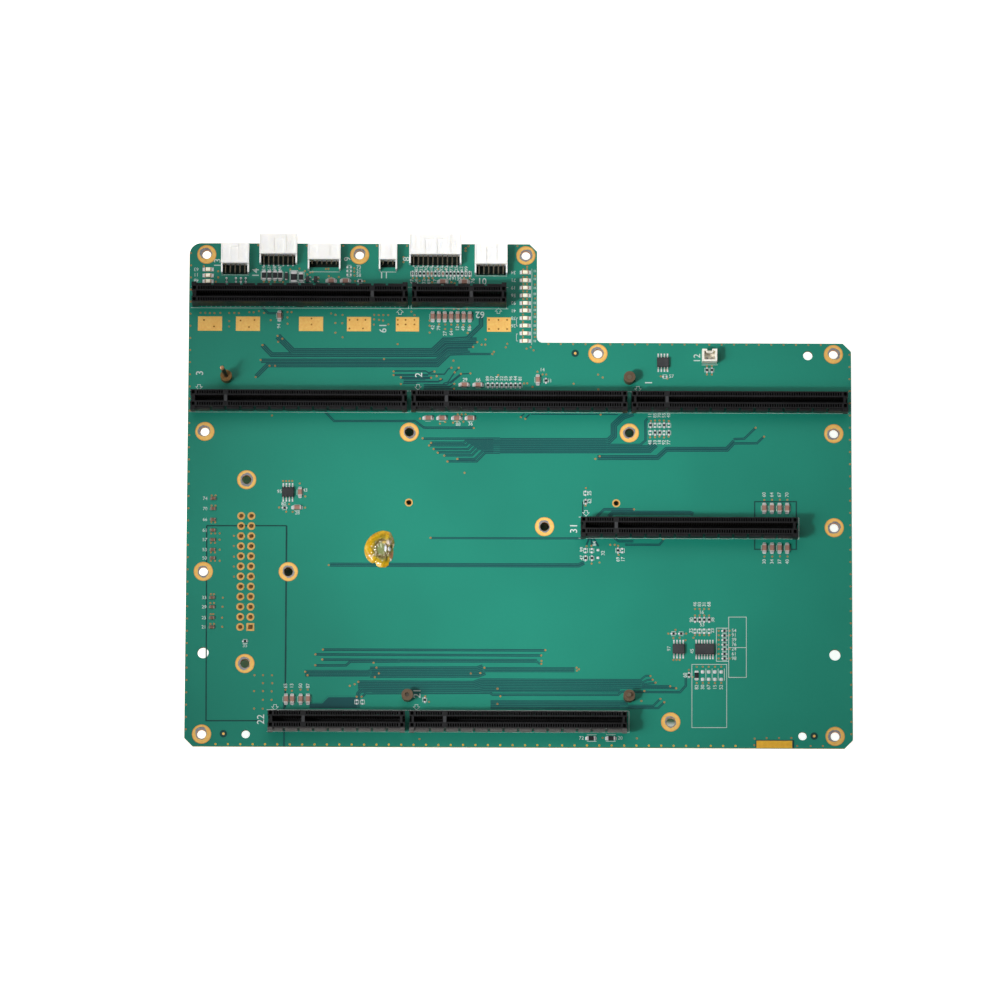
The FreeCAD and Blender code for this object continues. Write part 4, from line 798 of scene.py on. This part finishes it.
# thin gaps in the copper, drawn as bare lines
for pts in (v1((80, 887), (320, 887)), [(206.7, 525.7), (206.57, 562.2)], [(206.5, 580.4), (206.0, 720.7), (263.3, 720.7)],
            v2((764, 640), (764, 515), (889, 515), (889, 640)), v2((764, 640), (764, 658), (790, 658)),
            v2((889, 640), (889, 658), (874, 658)), v2((248, 515), (248, 560))):
    moat.line([px(*p) for p in pts], 0.54)
moat.line([px(286.6, 525.7), px(286.32, 562.0)], 0.7)
moat.line([px(286.18, 580.6), px(285.2, 707.5)], 0.7)
# lower bundles
run([(322.6, 649.6), (545.3, 650.4)], 1, 1.0, 2.6)
run([(315.4, 654.4), (541.2, 655.5)], 1, 1.0, 2.5)
run([(322.4, 659.6), (400.0, 660.0)], 1, 1.0, 2.5)
run([(315.4, 665.4), (346.0, 665.4), (350.2, 661.6), (400.0, 661.4)], 1, 1.0, 2.5)
run([(398.0, 660.6), (537.0, 660.9)], 2, 1.7, 3.8)
run([(536.0, 661.0), (539.5, 663.6), (541.4, 663.8)], 1, 1.0, 2.0)
run([(305.0, 673.3), (368.0, 673.3), (371.5, 672.0)], 5, 1.4, 6.8)
run([(370.0, 672.2), (477.5, 672.0), (484.0, 669.6)], 6, 1.8, 11.4)
run([(482.5, 669.6), (574.5, 669.8)], 3, 1.6, 5.2)
run([(358.0, 684.9), (474.0, 685.4), (481.0, 682.9), (642.0, 683.6)], 5, 1.75, 9.2)
run([(362.0, 690.2), (478.0, 690.4), (484.0, 689.6), (620.0, 689.9)], 3, 1.75, 5.4)
run([(641.0, 679.4), (645.8, 675.8), (650.2, 675.8)], 1, 1.0, 2.0)
run([(642.0, 682.4), (647.5, 680.0), (652.5, 679.7)], 1, 1.0, 2.0)
run([(641.0, 684.2), (646.7, 683.7), (655.8, 682.9)], 1, 1.0, 2.0)
run([(640.0, 685.9), (670.0, 686.2)], 1, 1.0, 2.2)
run([(618.0, 688.0), (675.8, 688.1)], 1, 1.0, 2.2)
run([(367.0, 693.2), (490.0, 692.7), (492.5, 694.7), (618.3, 694.8), (621.7, 691.7), (680.0, 692.2), (685.8, 685.8), (685.8, 677.5)], 1, 1.0, 2.5)
run([(490.5, 704.6), (628.0, 704.8)], 5, 1.75, 9.0)
run([(620.0, 705.8), (653.3, 705.8), (660.2, 699.0)], 1, 1.0, 2.3)
run([(620.0, 708.0), (658.3, 708.0), (664.7, 701.8)], 1, 1.0, 2.3)
run([(358.2, 708.0), (358.2, 693.5), (362.5, 689.0)], 2, 1.7, 4.0)
run([(362.0, 697.2), (366.0, 692.8), (372.0, 692.6)], 1, 1.0, 2.2)
bands.poly([px(*q) for q in ((309.5, 703.4), (322.2, 703.4), (328.4, 697.2), (356.0, 697.2), (358.0, 708.2), (309.5, 708.2))])
lines.line([px(*q) for q in ((309.5, 702.4), (321.6, 702.4), (327.8, 696.0), (356.0, 696.0))], 0.3)
run(v3((312, 490), (312, 640)), 1, 1.0, 1.8)

# ------------------------------------------------------ printed marks


def outline(x0, y0, x1, y1, w=0.22):
    silk.line([(x0, y0), (x1, y0), (x1, y1), (x0, y1)], w, closed=True)


# slot outlines: a line on each long side; two slots have a closing line at the right
for k, (x0, x1, y, turned) in SLOTS.items():
    a, b = max(x0 - 0.75, -136.4), min(x1 + 0.75, 136.6)
    if turned:
        silk.line([(a, y - 4.0), (b, y - 4.0)], 0.17)
        silk.line([(a, y + 5.0), (b, y + 5.0)], 0.16)
    else:
        low = {"left_slot": 4.0, "lower_short_slot": 3.9, "lower_long_slot": 3.9}.get(k, 3.75)
        silk.line([(a, y - low), (b, y - low)], 0.08 if k.startswith("lower") else 0.10)
        silk.line([(a, y + 5.1), (b, y + 5.1)], 0.2)
silk.line([(45.3, -52.8), (45.3, -61.8)], 0.22)
silk.line([(115.2, 27.7), (115.2, 18.85)], 0.22)
for x in (-46.0, -44.9, px(506.3, 308)[0]):
    silk.line([(x, 115.0), (x, 116.4)], 0.2)
# tails of the outer contacts show along the open side of the upper long slot
x = -133.6
while x < -48.0:
    tin.rect(x - 0.28, 115.55, x + 0.28, 116.15)
    x += 2.0
# pin-one arrows, tip on the outline
for (ax, ay, s) in [(199, 387, 1), (418, 387, 1), (638, 389, 1), (586, 513, 1), (275, 707, 1), (416.5, 707, 1), (400, 312, -1), (498.5, 311, -1)]:
    X, Y = px(ax, ay)
    silk.line([(X - 0.6, Y + 1.0 * s), (X + 0.6, Y + 1.0 * s), (X + 0.6, Y + 0.1 * s), (X + 1.35, Y + 0.1 * s), (X, Y - 1.25 * s),
               (X - 1.35, Y + 0.1 * s), (X - 0.6, Y + 0.1 * s)], 0.2, closed=True)

# lamp columns
LEDS = [(2.3, y) for y in (130.3, 126.95, 123.8, 120.55, 117.35, 114.2, 111.0, 107.85, 104.6, 101.4)] \
    + [(-129.1, y) for y in (131.1, 128.55, 126.1)]
for (x, y) in LEDS:
    for sx in (-1, 1):
        pits.rect(x + sx * 1.02, y - 0.74, x + sx * 1.36, y + 0.74, z0=TOP + 0.38, z1=TOP + 0.44)
    for sx in (-1, 1):
        tin.rect(x + sx * 1.05, y - 0.74, x + sx * 2.3, y + 0.74)
lx = px(531.8, 300)[0]
silk.line([(lx, LEDS[0][1] + 1.6), (lx, LEDS[9][1] - 1.6)], 0.2)
for (x, y) in LEDS[:10]:
    silk.line([(x + 2.6, y - 1.6), (lx, y - 1.6)], 0.2)
for (y0, y1) in ((318, 326), (334, 341)):
    silk.line([px(518, y0), px(516.5, y0), px(516.5, y1), px(518, y1)], 0.2)
for y in (271, 279, 288, 294, 303, 310, 317, 325.5, 333, 341):
    X, Y = px(535, y)
    for dx in (-0.5, 0.1):
        silk.rect(X + dx, Y - 0.5, X + dx + 0.26, Y + 0.5)

# boxes at the lower right
silk.line([px(691.9, 664.4), px(726.7, 664.4), px(726.7, 727.6), px(691.9, 727.6)], 0.22, closed=True)
silk.line([px(728.7, 617.1), px(746.3, 617.1), px(746.3, 677.4), px(728.7, 677.4)], 0.22, closed=True)
silk.line([px(728.7, 628.1), px(716.4, 628.1), px(716.4, 661.3), px(728.7, 661.3)], 0.22)
silk.line([px(728.7, 647.6), px(746.3, 647.6)], 0.22)


def number(text, x, y, size, turn=0.0, bold=0.0):
    """A plain number printed on the board, centred on x, y."""
    cu = bpy.data.curves.new("n", "FONT")
    cu.body = text
    cu.size = size * 1.62
    cu.align_x = "CENTER"
    cu.align_y = "CENTER"
    cu.offset = bold
    cu.extrude = 0.045
    cu.resolution_u = 3
    ob = bpy.data.objects.new("n", cu)
    SCENE.collection.objects.link(ob)
    bpy.context.view_layer.update()
    dg = bpy.context.evaluated_depsgraph_get()
    me = bpy.data.meshes.new_from_object(ob.evaluated_get(dg))
    m = Matrix.Translation((x, y, TOP + 0.025)) @ Matrix.Rotation(math.radians(turn), 4, "Z")
    me.transform(m)
    silk.mesh([tuple(v.co) for v in me.vertices], [tuple(p.vertices) for p in me.polygons])
    bpy.data.objects.remove(ob)
    bpy.data.curves.remove(cu)
    bpy.data.meshes.remove(me)


for text, x, y, size, turn in [
        ("13", 217.7, 263, 2.4, 90), ("14", 256, 273, 2.4, 90), ("9", 347.7, 259, 2.4, 90), ("11", 384, 275.5, 2.4, 0),
        ("8", 406.7, 259, 2.4, 90), ("10", 482, 281.7, 2.4, 0), ("61", 383.3, 328, 2.6, 90), ("62", 480, 314.5, 2.4, 180),
        ("3", 200, 373, 2.6, 90), ("2", 419, 375, 2.6, 90), ("1", 649, 382.7, 2.6, 90), ("12", 697.3, 358.3, 2.4, 90),
        ("31", 574, 528.3, 2.6, 90), ("22", 261, 719.3, 2.6, 90), ("21", 417.3, 693.3, 2.6, 90)]:
    X, Y = px(x, y)
    number(text, X, Y, size, turn, 0.02)

# small plain numbers beside the parts
TAGS = [(x, y, 90) for x in (650, 655, 659.5, 664, 668.7) for y in (415.4, 442.4)]
TAGS += [p + (90,) for p in INNER((165, 110), (165, 205), (70, 785), (70, 885), (222, 715), (325, 830), (505, 905), (565, 905))]
TAGS += [p + (0,) for p in LOWER(*[(560, y) for y in (262, 298, 335, 372, 408, 447, 484)])]
TAGS += [p + (90,) for p in LOWER((248, 50), (285, 50), (322, 50), (360, 50))]
TAGS += [p + (0,) for p in LOWER((300, 115), (305, 215))]
TAGS += [p + (90,) for p in LOWER((220, 175), (390, 175), (218, 260), (388, 260), (168, 618), (40, 405), (225, 425),
                                 (262, 713), (310, 713), (358, 713), (408, 713), (458, 713))]
TAGS += [p + (90,) for p in MIDDLE(*[(525 + 51 * i, 115) for i in range(8)])]
TAGS += [p + (0,) for p in MIDDLE((275, 130), (420, 130), (1125, 20), (1205, 140), (200, 620), (335, 615))]
TAGS += [p + (0,) for p in TRIO((290, 130), (290, 185), (290, 243))]
TAGS += [p + (0,) for p in CHIP((148, 171), (430, 156), (195, 306), (345, 406))]
TAGS += [p + (90,) for p in CORNER((172, 20), (240, 20), (337, 20), (418, 20))]
TAGS += [(245.0, 645.6, 0), (581.4, 738.1, 0), (620.2, 738.1, 0), (671.4, 376.4, 0), (279, 326, 90)]
TAGS += [(432.8, 327.5, 90), (438.8, 328, 90), (445, 333.5, 90), (451.3, 333, 90), (457.5, 328.5, 90), (463.3, 328.5, 90), (469.5, 328.5, 90)]
TAGS += [(513.4, 272.4 + 7.62 * i, 180) for i in range(8)] + [(196.2, y, 180) for y in (269.2, 274.6, 280.2)]
TAGS += [(416.5 + 5.0 * i, 268.7, 90) for i in range(11)] + [(x, 281.6, 90) for x in (412.1, 416.6, 423.9, 428.8, 435.2)]
TAGS += [(448.6, 279.1, 0), (454.1, 278.6, 0), (459.1, 279.1, 0), (473, 280.8, 90)] + [(x, 268.4, 90) for x in (263.8, 269.3, 274.6, 279.8)]
for i, (x, y, turn) in enumerate(TAGS):
    X, Y = px(x, y)
    number(str(11 + (i * 37) % 89), X, Y, 1.25, turn, 0.012)
for y in (34.85, 30.6, 26.05, 21.6, 17.65, 13.5, 10.0, -6.45, -10.3, -14.8, -18.65):
    number(str(int(40 + y)), -129.3, y, 1.2, 0, 0.012)
for x in (100.95, 104.1, 107.25, 110.4):
    number(str(int(x - 40)), x, 37.3, 1.25, 90, 0.012)
    number(str(int(x - 70)), x, 9.4, 1.25, 90, 0.012)

# ----------------------------------------------------- lands and solder
CAPS_UP = [(-99.4, 111.6), (-36.0, 111.5), (-33.45, 111.5), (-30.95, 111.5), (-28.35, 111.5), (-25.7, 111.5),
           (-23.2, 111.5), (-20.65, 111.5), (7.55, 85.1), (100.95, 31.6), (104.1, 31.6), (107.25, 31.6),
           (110.4, 31.6), (100.95, 15.0), (104.05, 15.0), (107.2, 15.0), (110.35, 15.0), (-90.3, 37.6),
           (-95.3, -48.4), (-92.8, -48.4), (-89.3, -48.4), (-86.3, -48.4)]
CAPS_ACROSS = [(-37.6, 68.8), (-31.9, 68.8), (-25.8, 68.8), (-20.2, 68.8), (-22.8, 82.8), (-17.05, 82.8),
               (-91.4, 31.2), (-78.1, 126.4), (-72.2, 126.4), (-31.9, 126.2), (-22.95, 126.2)]
ROW = [(-44.4 + 1.573 * i, 129.6) for i in range(16)]
SMALL_CAPS_UP = [ROW[i] for i in (4, 5, 8)]
SMALL_CAPS_ACROSS = [(-126.0, y) for y in (34.85, 30.6, 26.05, 21.6, 17.65, 13.5, 10.0, -6.45, -10.3, -14.8, -18.65)]
RES_UP = [(-106.0, 128.65), (-103.7, 128.65), (-101.4, 128.65), (-99.25, 128.65), (-90.6, 127.9), (73.0, -38.0)]
TINY_UP = [ROW[i] for i in range(16) if i not in (4, 5, 8)] \
    + [(-13.05 + 1.9 * i, 82.7) for i in range(8)] + [(10.9, 84.7)] \
    + [(-121.45, 126.65), (-117.55, 126.65), (-115.5, 126.65), (-113.5, 126.65)] \
    + [(54.1, 66.2), (59.75, 66.2), (56.0, 63.05), (57.9, 63.05), (61.65, 63.05)] \
    + [(x, -14.9) for x in (72.4, 74.3, 76.15, 78.2)] \
    + [(77.43, 89.4), (79.46, 89.4), (27.4, 34.05), (27.4, 10.55), (30.0, 10.55), (40.7, 13.8), (-38.45, -48.5), (69.85, -37.8)]
TINY_ACROSS = [(84.5, y) for y in (-19.45, -21.45, -23.3, -25.2, -27.1, -29.05, -30.95)] \
    + [(-66.15, 126.35), (-96.55, 31.1), (-112.3, -24.5), (63.6, -20.7), (66.7, -20.7)]
# places with tinned lands and no part on them
EMPTY_UP = [(56.0, 66.2), (57.9, 66.2), (61.65, 66.2), (54.1, 63.05), (59.75, 63.05),
            (72.4, -19.6), (74.3, -19.6), (76.15, -19.6), (78.2, -19.6),
            (27.4, 37.65), (27.4, 13.7), (30.0, 13.7), (42.55, 13.8), (-66.3, -49.45), (-63.95, -49.45)]
EMPTY_ACROSS = [(-70.7, 132.25), (-70.7, 130.65), (-70.7, 129.05), (60.1, 86.6)]
BIGS = [(29.8, -64.15, 0), (37.95, -64.15, 0)]


def fillet(x, y, turn, half, width, height, reach, plates=None):
    """A solder fillet at each end of a two-ended part: high at the end cap, thin at its toe."""
    ca, sa = math.cos(math.radians(turn)), math.sin(math.radians(turn))
    for s in (-1, 1):
        prof = [(0.0, height), (0.22 * reach, height * 0.52), (0.55 * reach, height * 0.2), (reach, 0.03)]
        rows = []
        for k, (u, z) in enumerate(prof):
            w = width / 2.0 * (1.02 - 0.34 * (u / reach) ** 2)
            rows.append([(half + u, -w, z), (half + u, w, z)])
        verts, faces = [], []
        for r in rows:
            for (u, v, z) in r:
                verts.append((x + s * (u * ca) - s * v * sa, y + s * (u * sa) + s * v * ca, TOP + z))
            for (u, v, z) in r:
                verts.append((x + s * (u * ca) - s * v * sa, y + s * (u * sa) + s * v * ca, LOW))
        n = len(rows)
        for i in range(n - 1):
            p, q = 4 * i, 4 * (i + 1)
            faces += [(p, p + 1, q + 1, q), (p + 2, q + 2, q + 3, p + 3), (p, q, q + 2, p + 2), (p + 1, p + 3, q + 3, q + 1)]
        faces += [(0, 2, 3, 1), (4 * (n - 1), 4 * (n - 1) + 1, 4 * (n - 1) + 3, 4 * (n - 1) + 2)]
        (plates or solder).mesh(verts, faces)


for pts, turn, half, width, height, reach in (
        (CAPS_UP, 90, 1.6, 1.6, 0.95, 0.75), (CAPS_ACROSS, 0, 1.6, 1.6, 0.95, 0.75),
        (RES_UP, 90, 1.6, 1.6, 0.5, 0.45), ([(-93.55, 127.9)], 90, 2.2, 2.55, 0.75, 0.5),
        (TINY_UP + SMALL_CAPS_UP, 90, 0.8, 0.8, 0.36, 0.45), (TINY_ACROSS, 0, 0.8, 0.8, 0.36, 0.45)):
    for (x, y) in pts:
        fillet(x, y, turn, half, width, height, reach)
for (x, y) in SMALL_CAPS_ACROSS:
    fillet(x, y, 0, 1.0, 1.15, 0.5, 0.3, dull)
# printed bars at the sides of the capacitors
for (x, y) in CAPS_UP:
    for s in (-1.2, 1.2):
        silk.line([(x + s, y - 1.15), (x + s, y + 1.15)], 0.17)
for (x, y) in CAPS_ACROSS:
    for s in (-1.2, 1.2):
        silk.line([(x - 1.15, y + s), (x + 1.15, y + s)], 0.17)
for (x, y) in TINY_UP + EMPTY_UP:
    if y == 129.6 or y == 126.65:
        continue
    for s in (-0.82, 0.82):
        silk.line([(x + s, y - 0.95), (x + s, y + 0.95)], 0.2)
for i in range(17):
    x = -44.4 + 1.573 * (i - 0.5)
    silk.line([(x, 128.5), (x, 130.7)], 0.22)
for (x, y) in RES_UP[:4]:
    for s in (-1.12, 1.12):
        silk.line([(x + s, y - 1.75), (x + s, y + 1.75)], 0.24)
    for s in (-2.15, 2.15):
        silk.line([(x - 0.7, y + s), (x + 0.7, y + s)], 0.2)
for (x, y, hx_, hy_) in ((-93.55, 127.9, 1.6, 2.8), (-90.6, 127.9, 1.2, 2.2)):
    silk.line([(x - hx_, y - hy_), (x + hx_, y - hy_), (x + hx_, y + hy_), (x - hx_, y + hy_)], 0.22, closed=True)
for (x, y) in TINY_ACROSS + EMPTY_ACROSS:
    for s in (-0.82, 0.82):
        silk.line([(x - 0.95, y + s), (x + 0.95, y + s)], 0.18)
# a small white patch on top of some of the small parts
for (x, y) in [ROW[i] for i in (0, 1, 7, 14, 15)] + [(-121.45, 126.65), (-117.55, 126.65), (-115.5, 126.65), (-113.5, 126.65)]:
    silk.rect(x - 0.2, y - 0.23, x + 0.2, y + 0.23, z0=TOP + 0.4, z1=TOP + 0.53)
for x in (335, 385, 433, 483):
    silk.line([px(*q) for q in LOWER((x, 565), (x, 660))], 0.2)
for x in (586.8, 606.0):
    for y in (734.8, 741.4):
        silk.line([px(x, y), px(x + 9.8, y)], 0.2)
silk.line([px(701.5, 364.9), px(717.8, 364.9)], 0.22)
for (x, y, turn) in BIGS:
    fillet(x, y, turn, 1.65, 1.65, 0.6, 0.7)
# chips: a land under each lead
for (cx, cy) in [(59.25, 92.45), (-95.25, 37.55), (65.65, -27.1)]:
    for i in range(4):
        x = cx + (i - 1.5) * 1.27
        for s in (-1, 1):
            tin.rect(x - 0.3, cy + s * 2.5, x + 0.3, cy + s * 3.85)
for i in range(7):
    x = 76.3 + (i - 3) * 1.14
    for s in (-1, 1):
        tin.rect(x - 0.3, -27.2 + s * 2.8, x + 0.3, -27.2 + s * 4.0)


def dome(x, y, rx, ry, h, n=18):
    """A low cushion of solder on a bare land."""
    v, f = [], []
    rings = ((1.0, 0.03), (0.94, 0.45), (0.72, 0.8), (0.4, 0.96))
    for k, z in rings:
        for i in range(n):
            a = 2 * math.pi * i / n
            c, s_ = math.cos(a), math.sin(a)
            q = (abs(c) ** 4 + abs(s_) ** 4) ** -0.25
            v.append((x + rx * k * c * q, y + ry * k * s_ * q, TOP + h * z))
    for i in range(n):
        a = 2 * math.pi * i / n
        c, s_ = math.cos(a), math.sin(a)
        q = (abs(c) ** 4 + abs(s_) ** 4) ** -0.25
        v.append((x + rx * c * q, y + ry * s_ * q, LOW))
    for k in range(3):
        for i in range(n):
            j = (i + 1) % n
            f.append((k * n + i, k * n + j, (k + 1) * n + j, (k + 1) * n + i))
    f.append(tuple(range(3 * n, 4 * n)))
    f.append(tuple(range(5 * n - 1, 4 * n - 1, -1)))
    for i in range(n):
        j = (i + 1) % n
        f.append((4 * n + i, 4 * n + j, j, i))
    solder.mesh(v, f)


for (x, y) in EMPTY_UP:
    for s in (-1, 1):
        dome(x, y + s * 0.72, 0.48, 0.42, 0.22)
for (x, y) in EMPTY_ACROSS:
    for s in (-1, 1):
        dome(x + s * 0.72, y, 0.42, 0.48, 0.22)
for s in (-1, 1):
    dome(32.52, 12.35 + s * 1.6, 0.62, 0.55, 0.28)
    for x in (75.51, 78.02, 80.52, 83.14):
        dome(x, -38.02 + s * 1.55, 0.72, 0.72, 0.35)

# header pins: solder rings round each pin
HEADERS = {"five_way": (-117.83, 132.9, 5, True), "seven_way": (-99.98, 136.85, 7, True), "left_six_way": (-80.98, 134.6, 6, False),
           "three_way": (-54.58, 134.65, 3, False), "ten_way": (-35.0, 136.85, 10, True), "right_six_way": (-11.88, 132.9, 6, True)}


def cone(plates, x, y, r0, r1, z0, z1, n=16):
    v, f = [], []
    for r, z in ((r0, z0), ((r0 + r1) / 2 * 0.82, z0 + (z1 - z0) * 0.4), (r1, z1)):
        for i in range(n):
            a = 2 * math.pi * i / n
            v.append((x + r * math.cos(a), y + r * math.sin(a), z))
    for k in range(2):
        for i in range(n):
            j = (i + 1) % n
            f.append((k * n + i, k * n + j, (k + 1) * n + j, (k + 1) * n + i))
    f.append(tuple(range(n - 1, -1, -1)))
    f.append(tuple(range(2 * n, 3 * n)))
    plates.mesh(v, f)


for k, (hx, hy, n, long_body) in HEADERS.items():
    hw = (n - 1) + 3.55 / 2.0 - 0.7
    leg = 3.6 if long_body else 2.3
    # painted shade: a dark field under each header's pin row
    shade.rect(hx - hw, hy - leg - 0.15, hx + hw, hy + 0.6)
    if long_body and k != "seven_way" and k != "ten_way":
        silk.line([(hx - hw - 0.6, hy - leg - 0.5), (hx + hw + 0.6, hy - leg - 0.5)], 0.15)
    if not long_body:
        silk.line([(hx - hw - 0.3, hy - 4.35), (hx + hw + 0.3, hy - 4.35)], 0.2)
    drop = -3.25 if long_body else -1.25
    for i in range(n):
        x, y = hx + (i - (n - 1) / 2.0) * 2.0, hy + drop
        cone(under, x, y, 0.85, 0.38, 0.02, -0.6)
        if k in ("seven_way", "ten_way"):
            dome(x, hy - leg - 0.35, 0.36, 0.3, 0.25)
for (x, y) in [(77.45, 94.0), (79.45, 94.0)]:
    cone(under, x, y, 0.85, 0.38, 0.02, -0.6)

PIECES = [p.build() for p in (bands, lines, moat, gold, power_lands, rims, edge_land, vias, pits, shade, barrels, wear, silk, tin, solder, dull, under)]


# --------------------------------------------------------------- tape patch
TAPE_EDGE = [(390.7, 532.5), (382.9, 530.7), (375.7, 532.9), (369.3, 537.9), (365.7, 543.6), (364.3, 550.0), (365.7, 556.4), (368.6, 560.7),
             (372.1, 563.2), (375.4, 562.3), (376.4, 565.7), (379.3, 567.3), (385.7, 567.3), (388.6, 565.2), (388.9, 562.2), (391.4, 560.7),
             (393.2, 554.3), (393.0, 548.6), (394.3, 542.1), (392.5, 536.4)]


def tape_piece():
    """A scrap of film stuck down by its rim, its middle crumpled up and its lower lobe folded."""
    import bmesh
    bm = bmesh.new()
    cx, cy = px(*TAPE_C)
    rim = []
    for q in TAPE_EDGE:
        X, Y = px(*q)
        rim.append((math.atan2(Y - cy, X - cx) % (2 * math.pi), math.hypot(X - cx, Y - cy)))
    rim.sort()
    rim = [(rim[-1][0] - 2 * math.pi, rim[-1][1])] + rim + [(rim[0][0] + 2 * math.pi, rim[0][1])]

    def reach(a):
        for (a0, r0), (a1, r1) in zip(rim, rim[1:]):
            if a0 <= a <= a1:
                t = (a - a0) / (a1 - a0)
                return r0 + (r1 - r0) * t
        return rim[0][1]

    rings, segs = 34, 144
    r2 = random.Random(5)
    folds = [(r2.uniform(0, 6.28), r2.choice([3, 5, 7, 9, 13]), r2.uniform(2.0, 9.0), r2.uniform(0.08, 0.2)) for _ in range(9)]

    def height(u, a):
        z = 0.12
        # a raised, creased ring round a low glossy dome
        ring = math.exp(-((u - 0.62) / 0.12) ** 2) * (0.55 + 0.25 * math.sin(3 * a + 0.6) + 0.2 * math.sin(8 * a))
        dome = 0.75 * max(0.0, 1 - (u / 0.45) ** 2)
        crease = sum(am * abs(math.sin(k * a * 0.5 + ph + fr * u)) for ph, k, fr, am in folds) * math.exp(-((u - 0.5) / 0.3) ** 2)
        z += ring + dome + crease * 0.8
        # radial puckers in the rim
        z += 0.14 * max(0.0, math.sin(17 * a + 3 * math.sin(5 * a))) * max(0.0, u - 0.6) / 0.4
        # the folded lobe at the lower edge
        d = abs((a - 4.75 + math.pi) % (2 * math.pi) - math.pi)
        z += 0.55 * math.exp(-(d / 0.35) ** 2) * max(0.0, u - 0.65) / 0.35 * (1.2 - u) / 0.55
        return max(0.07, z * (1 - 0.72 * u ** 8))

    grid = []
    for i in range(rings + 1):
        u = i / rings
        grid.append([(cx + reach(2 * math.pi * j / segs) * u * math.cos(2 * math.pi * j / segs),
                      cy + reach(2 * math.pi * j / segs) * u * math.sin(2 * math.pi * j / segs),
                      TOP + height(u, 2 * math.pi * j / segs)) for j in range(segs)])
    top = [[bm.verts.new((x * MM, y * MM, z * MM)) for (x, y, z) in r] for r in grid[1:]]
    bot = [[bm.verts.new((x * MM, y * MM, (TOP + 0.03) * MM)) for (x, y, z) in r] for r in grid[1:]]
    c1 = bm.verts.new((cx * MM, cy * MM, grid[0][0][2] * MM))
    c0 = bm.verts.new((cx * MM, cy * MM, (TOP + 0.03) * MM))
    for j in range(segs):
        k = (j + 1) % segs
        bm.faces.new((c1, top[0][j], top[0][k]))
        bm.faces.new((c0, bot[0][k], bot[0][j]))
        for i in range(rings - 1):
            bm.faces.new((top[i][j], top[i + 1][j], top[i + 1][k], top[i][k]))
            bm.faces.new((bot[i][k], bot[i + 1][k], bot[i + 1][j], bot[i][j]))
        bm.faces.new((top[-1][j], bot[-1][j], bot[-1][k], top[-1][k]))
    bmesh.ops.recalc_face_normals(bm, faces=bm.faces)
    me = bpy.data.meshes.new("tape")
    bm.to_mesh(me)
    bm.free()
    for q in me.polygons:
        q.use_smooth = True
    o = bpy.data.objects.new("tape_film", me)
    SCENE.collection.objects.link(o)
    me.materials.append(M_TAPE)
    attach(o, "root")
    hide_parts("tape_patch")
    return o


tape_piece()

# ------------------------------------------------------------ floor and light
floor_me = bpy.data.meshes.new("floor")
fz = -0.0128
floor_me.from_pydata([(-3, -3, fz), (3, -3, fz), (3, 3, fz), (-3, 3, fz)], [], [(0, 1, 2, 3)])
floor = bpy.data.objects.new("floor", floor_me)
SCENE.collection.objects.link(floor)
fm = Mat("floor_paper")
fn = fm.noise(40.0, 3.0, 0.5)
fs = fm.node("ShaderNodeSeparateXYZ")
fm.link(fm.obj(), fs.inputs[0])


def inside(x0, x1, y0, y1):
    """How far a place lies inside a box, in metres."""
    a = fm.math("MINIMUM", fm.math("SUBTRACT", fs.outputs["X"], x0 * MM), fm.math("SUBTRACT", x1 * MM, fs.outputs["X"]))
    b = fm.math("MINIMUM", fm.math("SUBTRACT", fs.outputs["Y"], y0 * MM), fm.math("SUBTRACT", y1 * MM, fs.outputs["Y"]))
    return fm.math("MINIMUM", a, b)


# painted shade: the floor's glow fades out in a patch the shape of the board, under it
deep = fm.math("MAXIMUM", inside(-136.85, 137.05, -67.85, 100.75), inside(-136.85, 7.15, -67.85, 142.2))
painted_glow_and_shade = fm.span(deep, 0.88, 0.0, 0.009, 0.013)
paper = fm.mix(fm.span(fn, 0.0, 1.0), (0.90, 0.75, 0.64, 1), (0.92, 0.77, 0.66, 1))
fm.set(Base_Color=paper, Roughness=0.9, Specular_IOR_Level=0.05,
       Emission_Color=(1.0, 1.0, 1.0, 1.0), Emission_Strength=painted_glow_and_shade)
floor_me.materials.append(fm.m)

world = bpy.data.worlds.new("world")
SCENE.world = world
world.use_nodes = True
world.node_tree.nodes["Background"].inputs["Color"].default_value = (1, 1, 1, 1)
world.node_tree.nodes["Background"].inputs["Strength"].default_value = 0.10


def area(name, at, to, size, power):
    d = bpy.data.lights.new(name, "AREA")
    d.shape = "RECTANGLE"
    d.size, d.size_y = size
    d.energy = power
    o = bpy.data.objects.new(name, d)
    SCENE.collection.objects.link(o)
    o.location = at
    o.rotation_euler = (Vector(to) - Vector(at)).to_track_quat("-Z", "Y").to_euler()
    return o


# a soft box at the left, and a pool of light over the middle of the board from above
area("key", (-0.95, -0.36, 1.15), (0, 0.03, 0), (0.65, 0.65), 8.5)
area("sky", (-0.12, 0.50, 1.05), (-0.02, 0.03, 0), (0.9, 0.7), 3.7).visible_glossy = False
area("fill", (0.3, 0.4, 1.5), (0, 0.03, 0), (0.9, 0.9), 0.8)
pool = bpy.data.lights.new("pool", "SPOT")
pool.energy = 51.0
pool.spot_size = math.radians(13.2)
pool.spot_blend = 1.0
pool.shadow_soft_size = 0.07
pool_at = Vector((-0.60, -0.30, 1.05))
pool_to = Vector((0.012, 0.034, 0.0))
po = bpy.data.objects.new("pool", pool)
SCENE.collection.objects.link(po)
po.location = pool_at
po.rotation_euler = (pool_to - pool_at).to_track_quat("-Z", "Y").to_euler()
SCENE.view_settings.view_transform = "Standard"
SCENE.view_settings.look = "None"
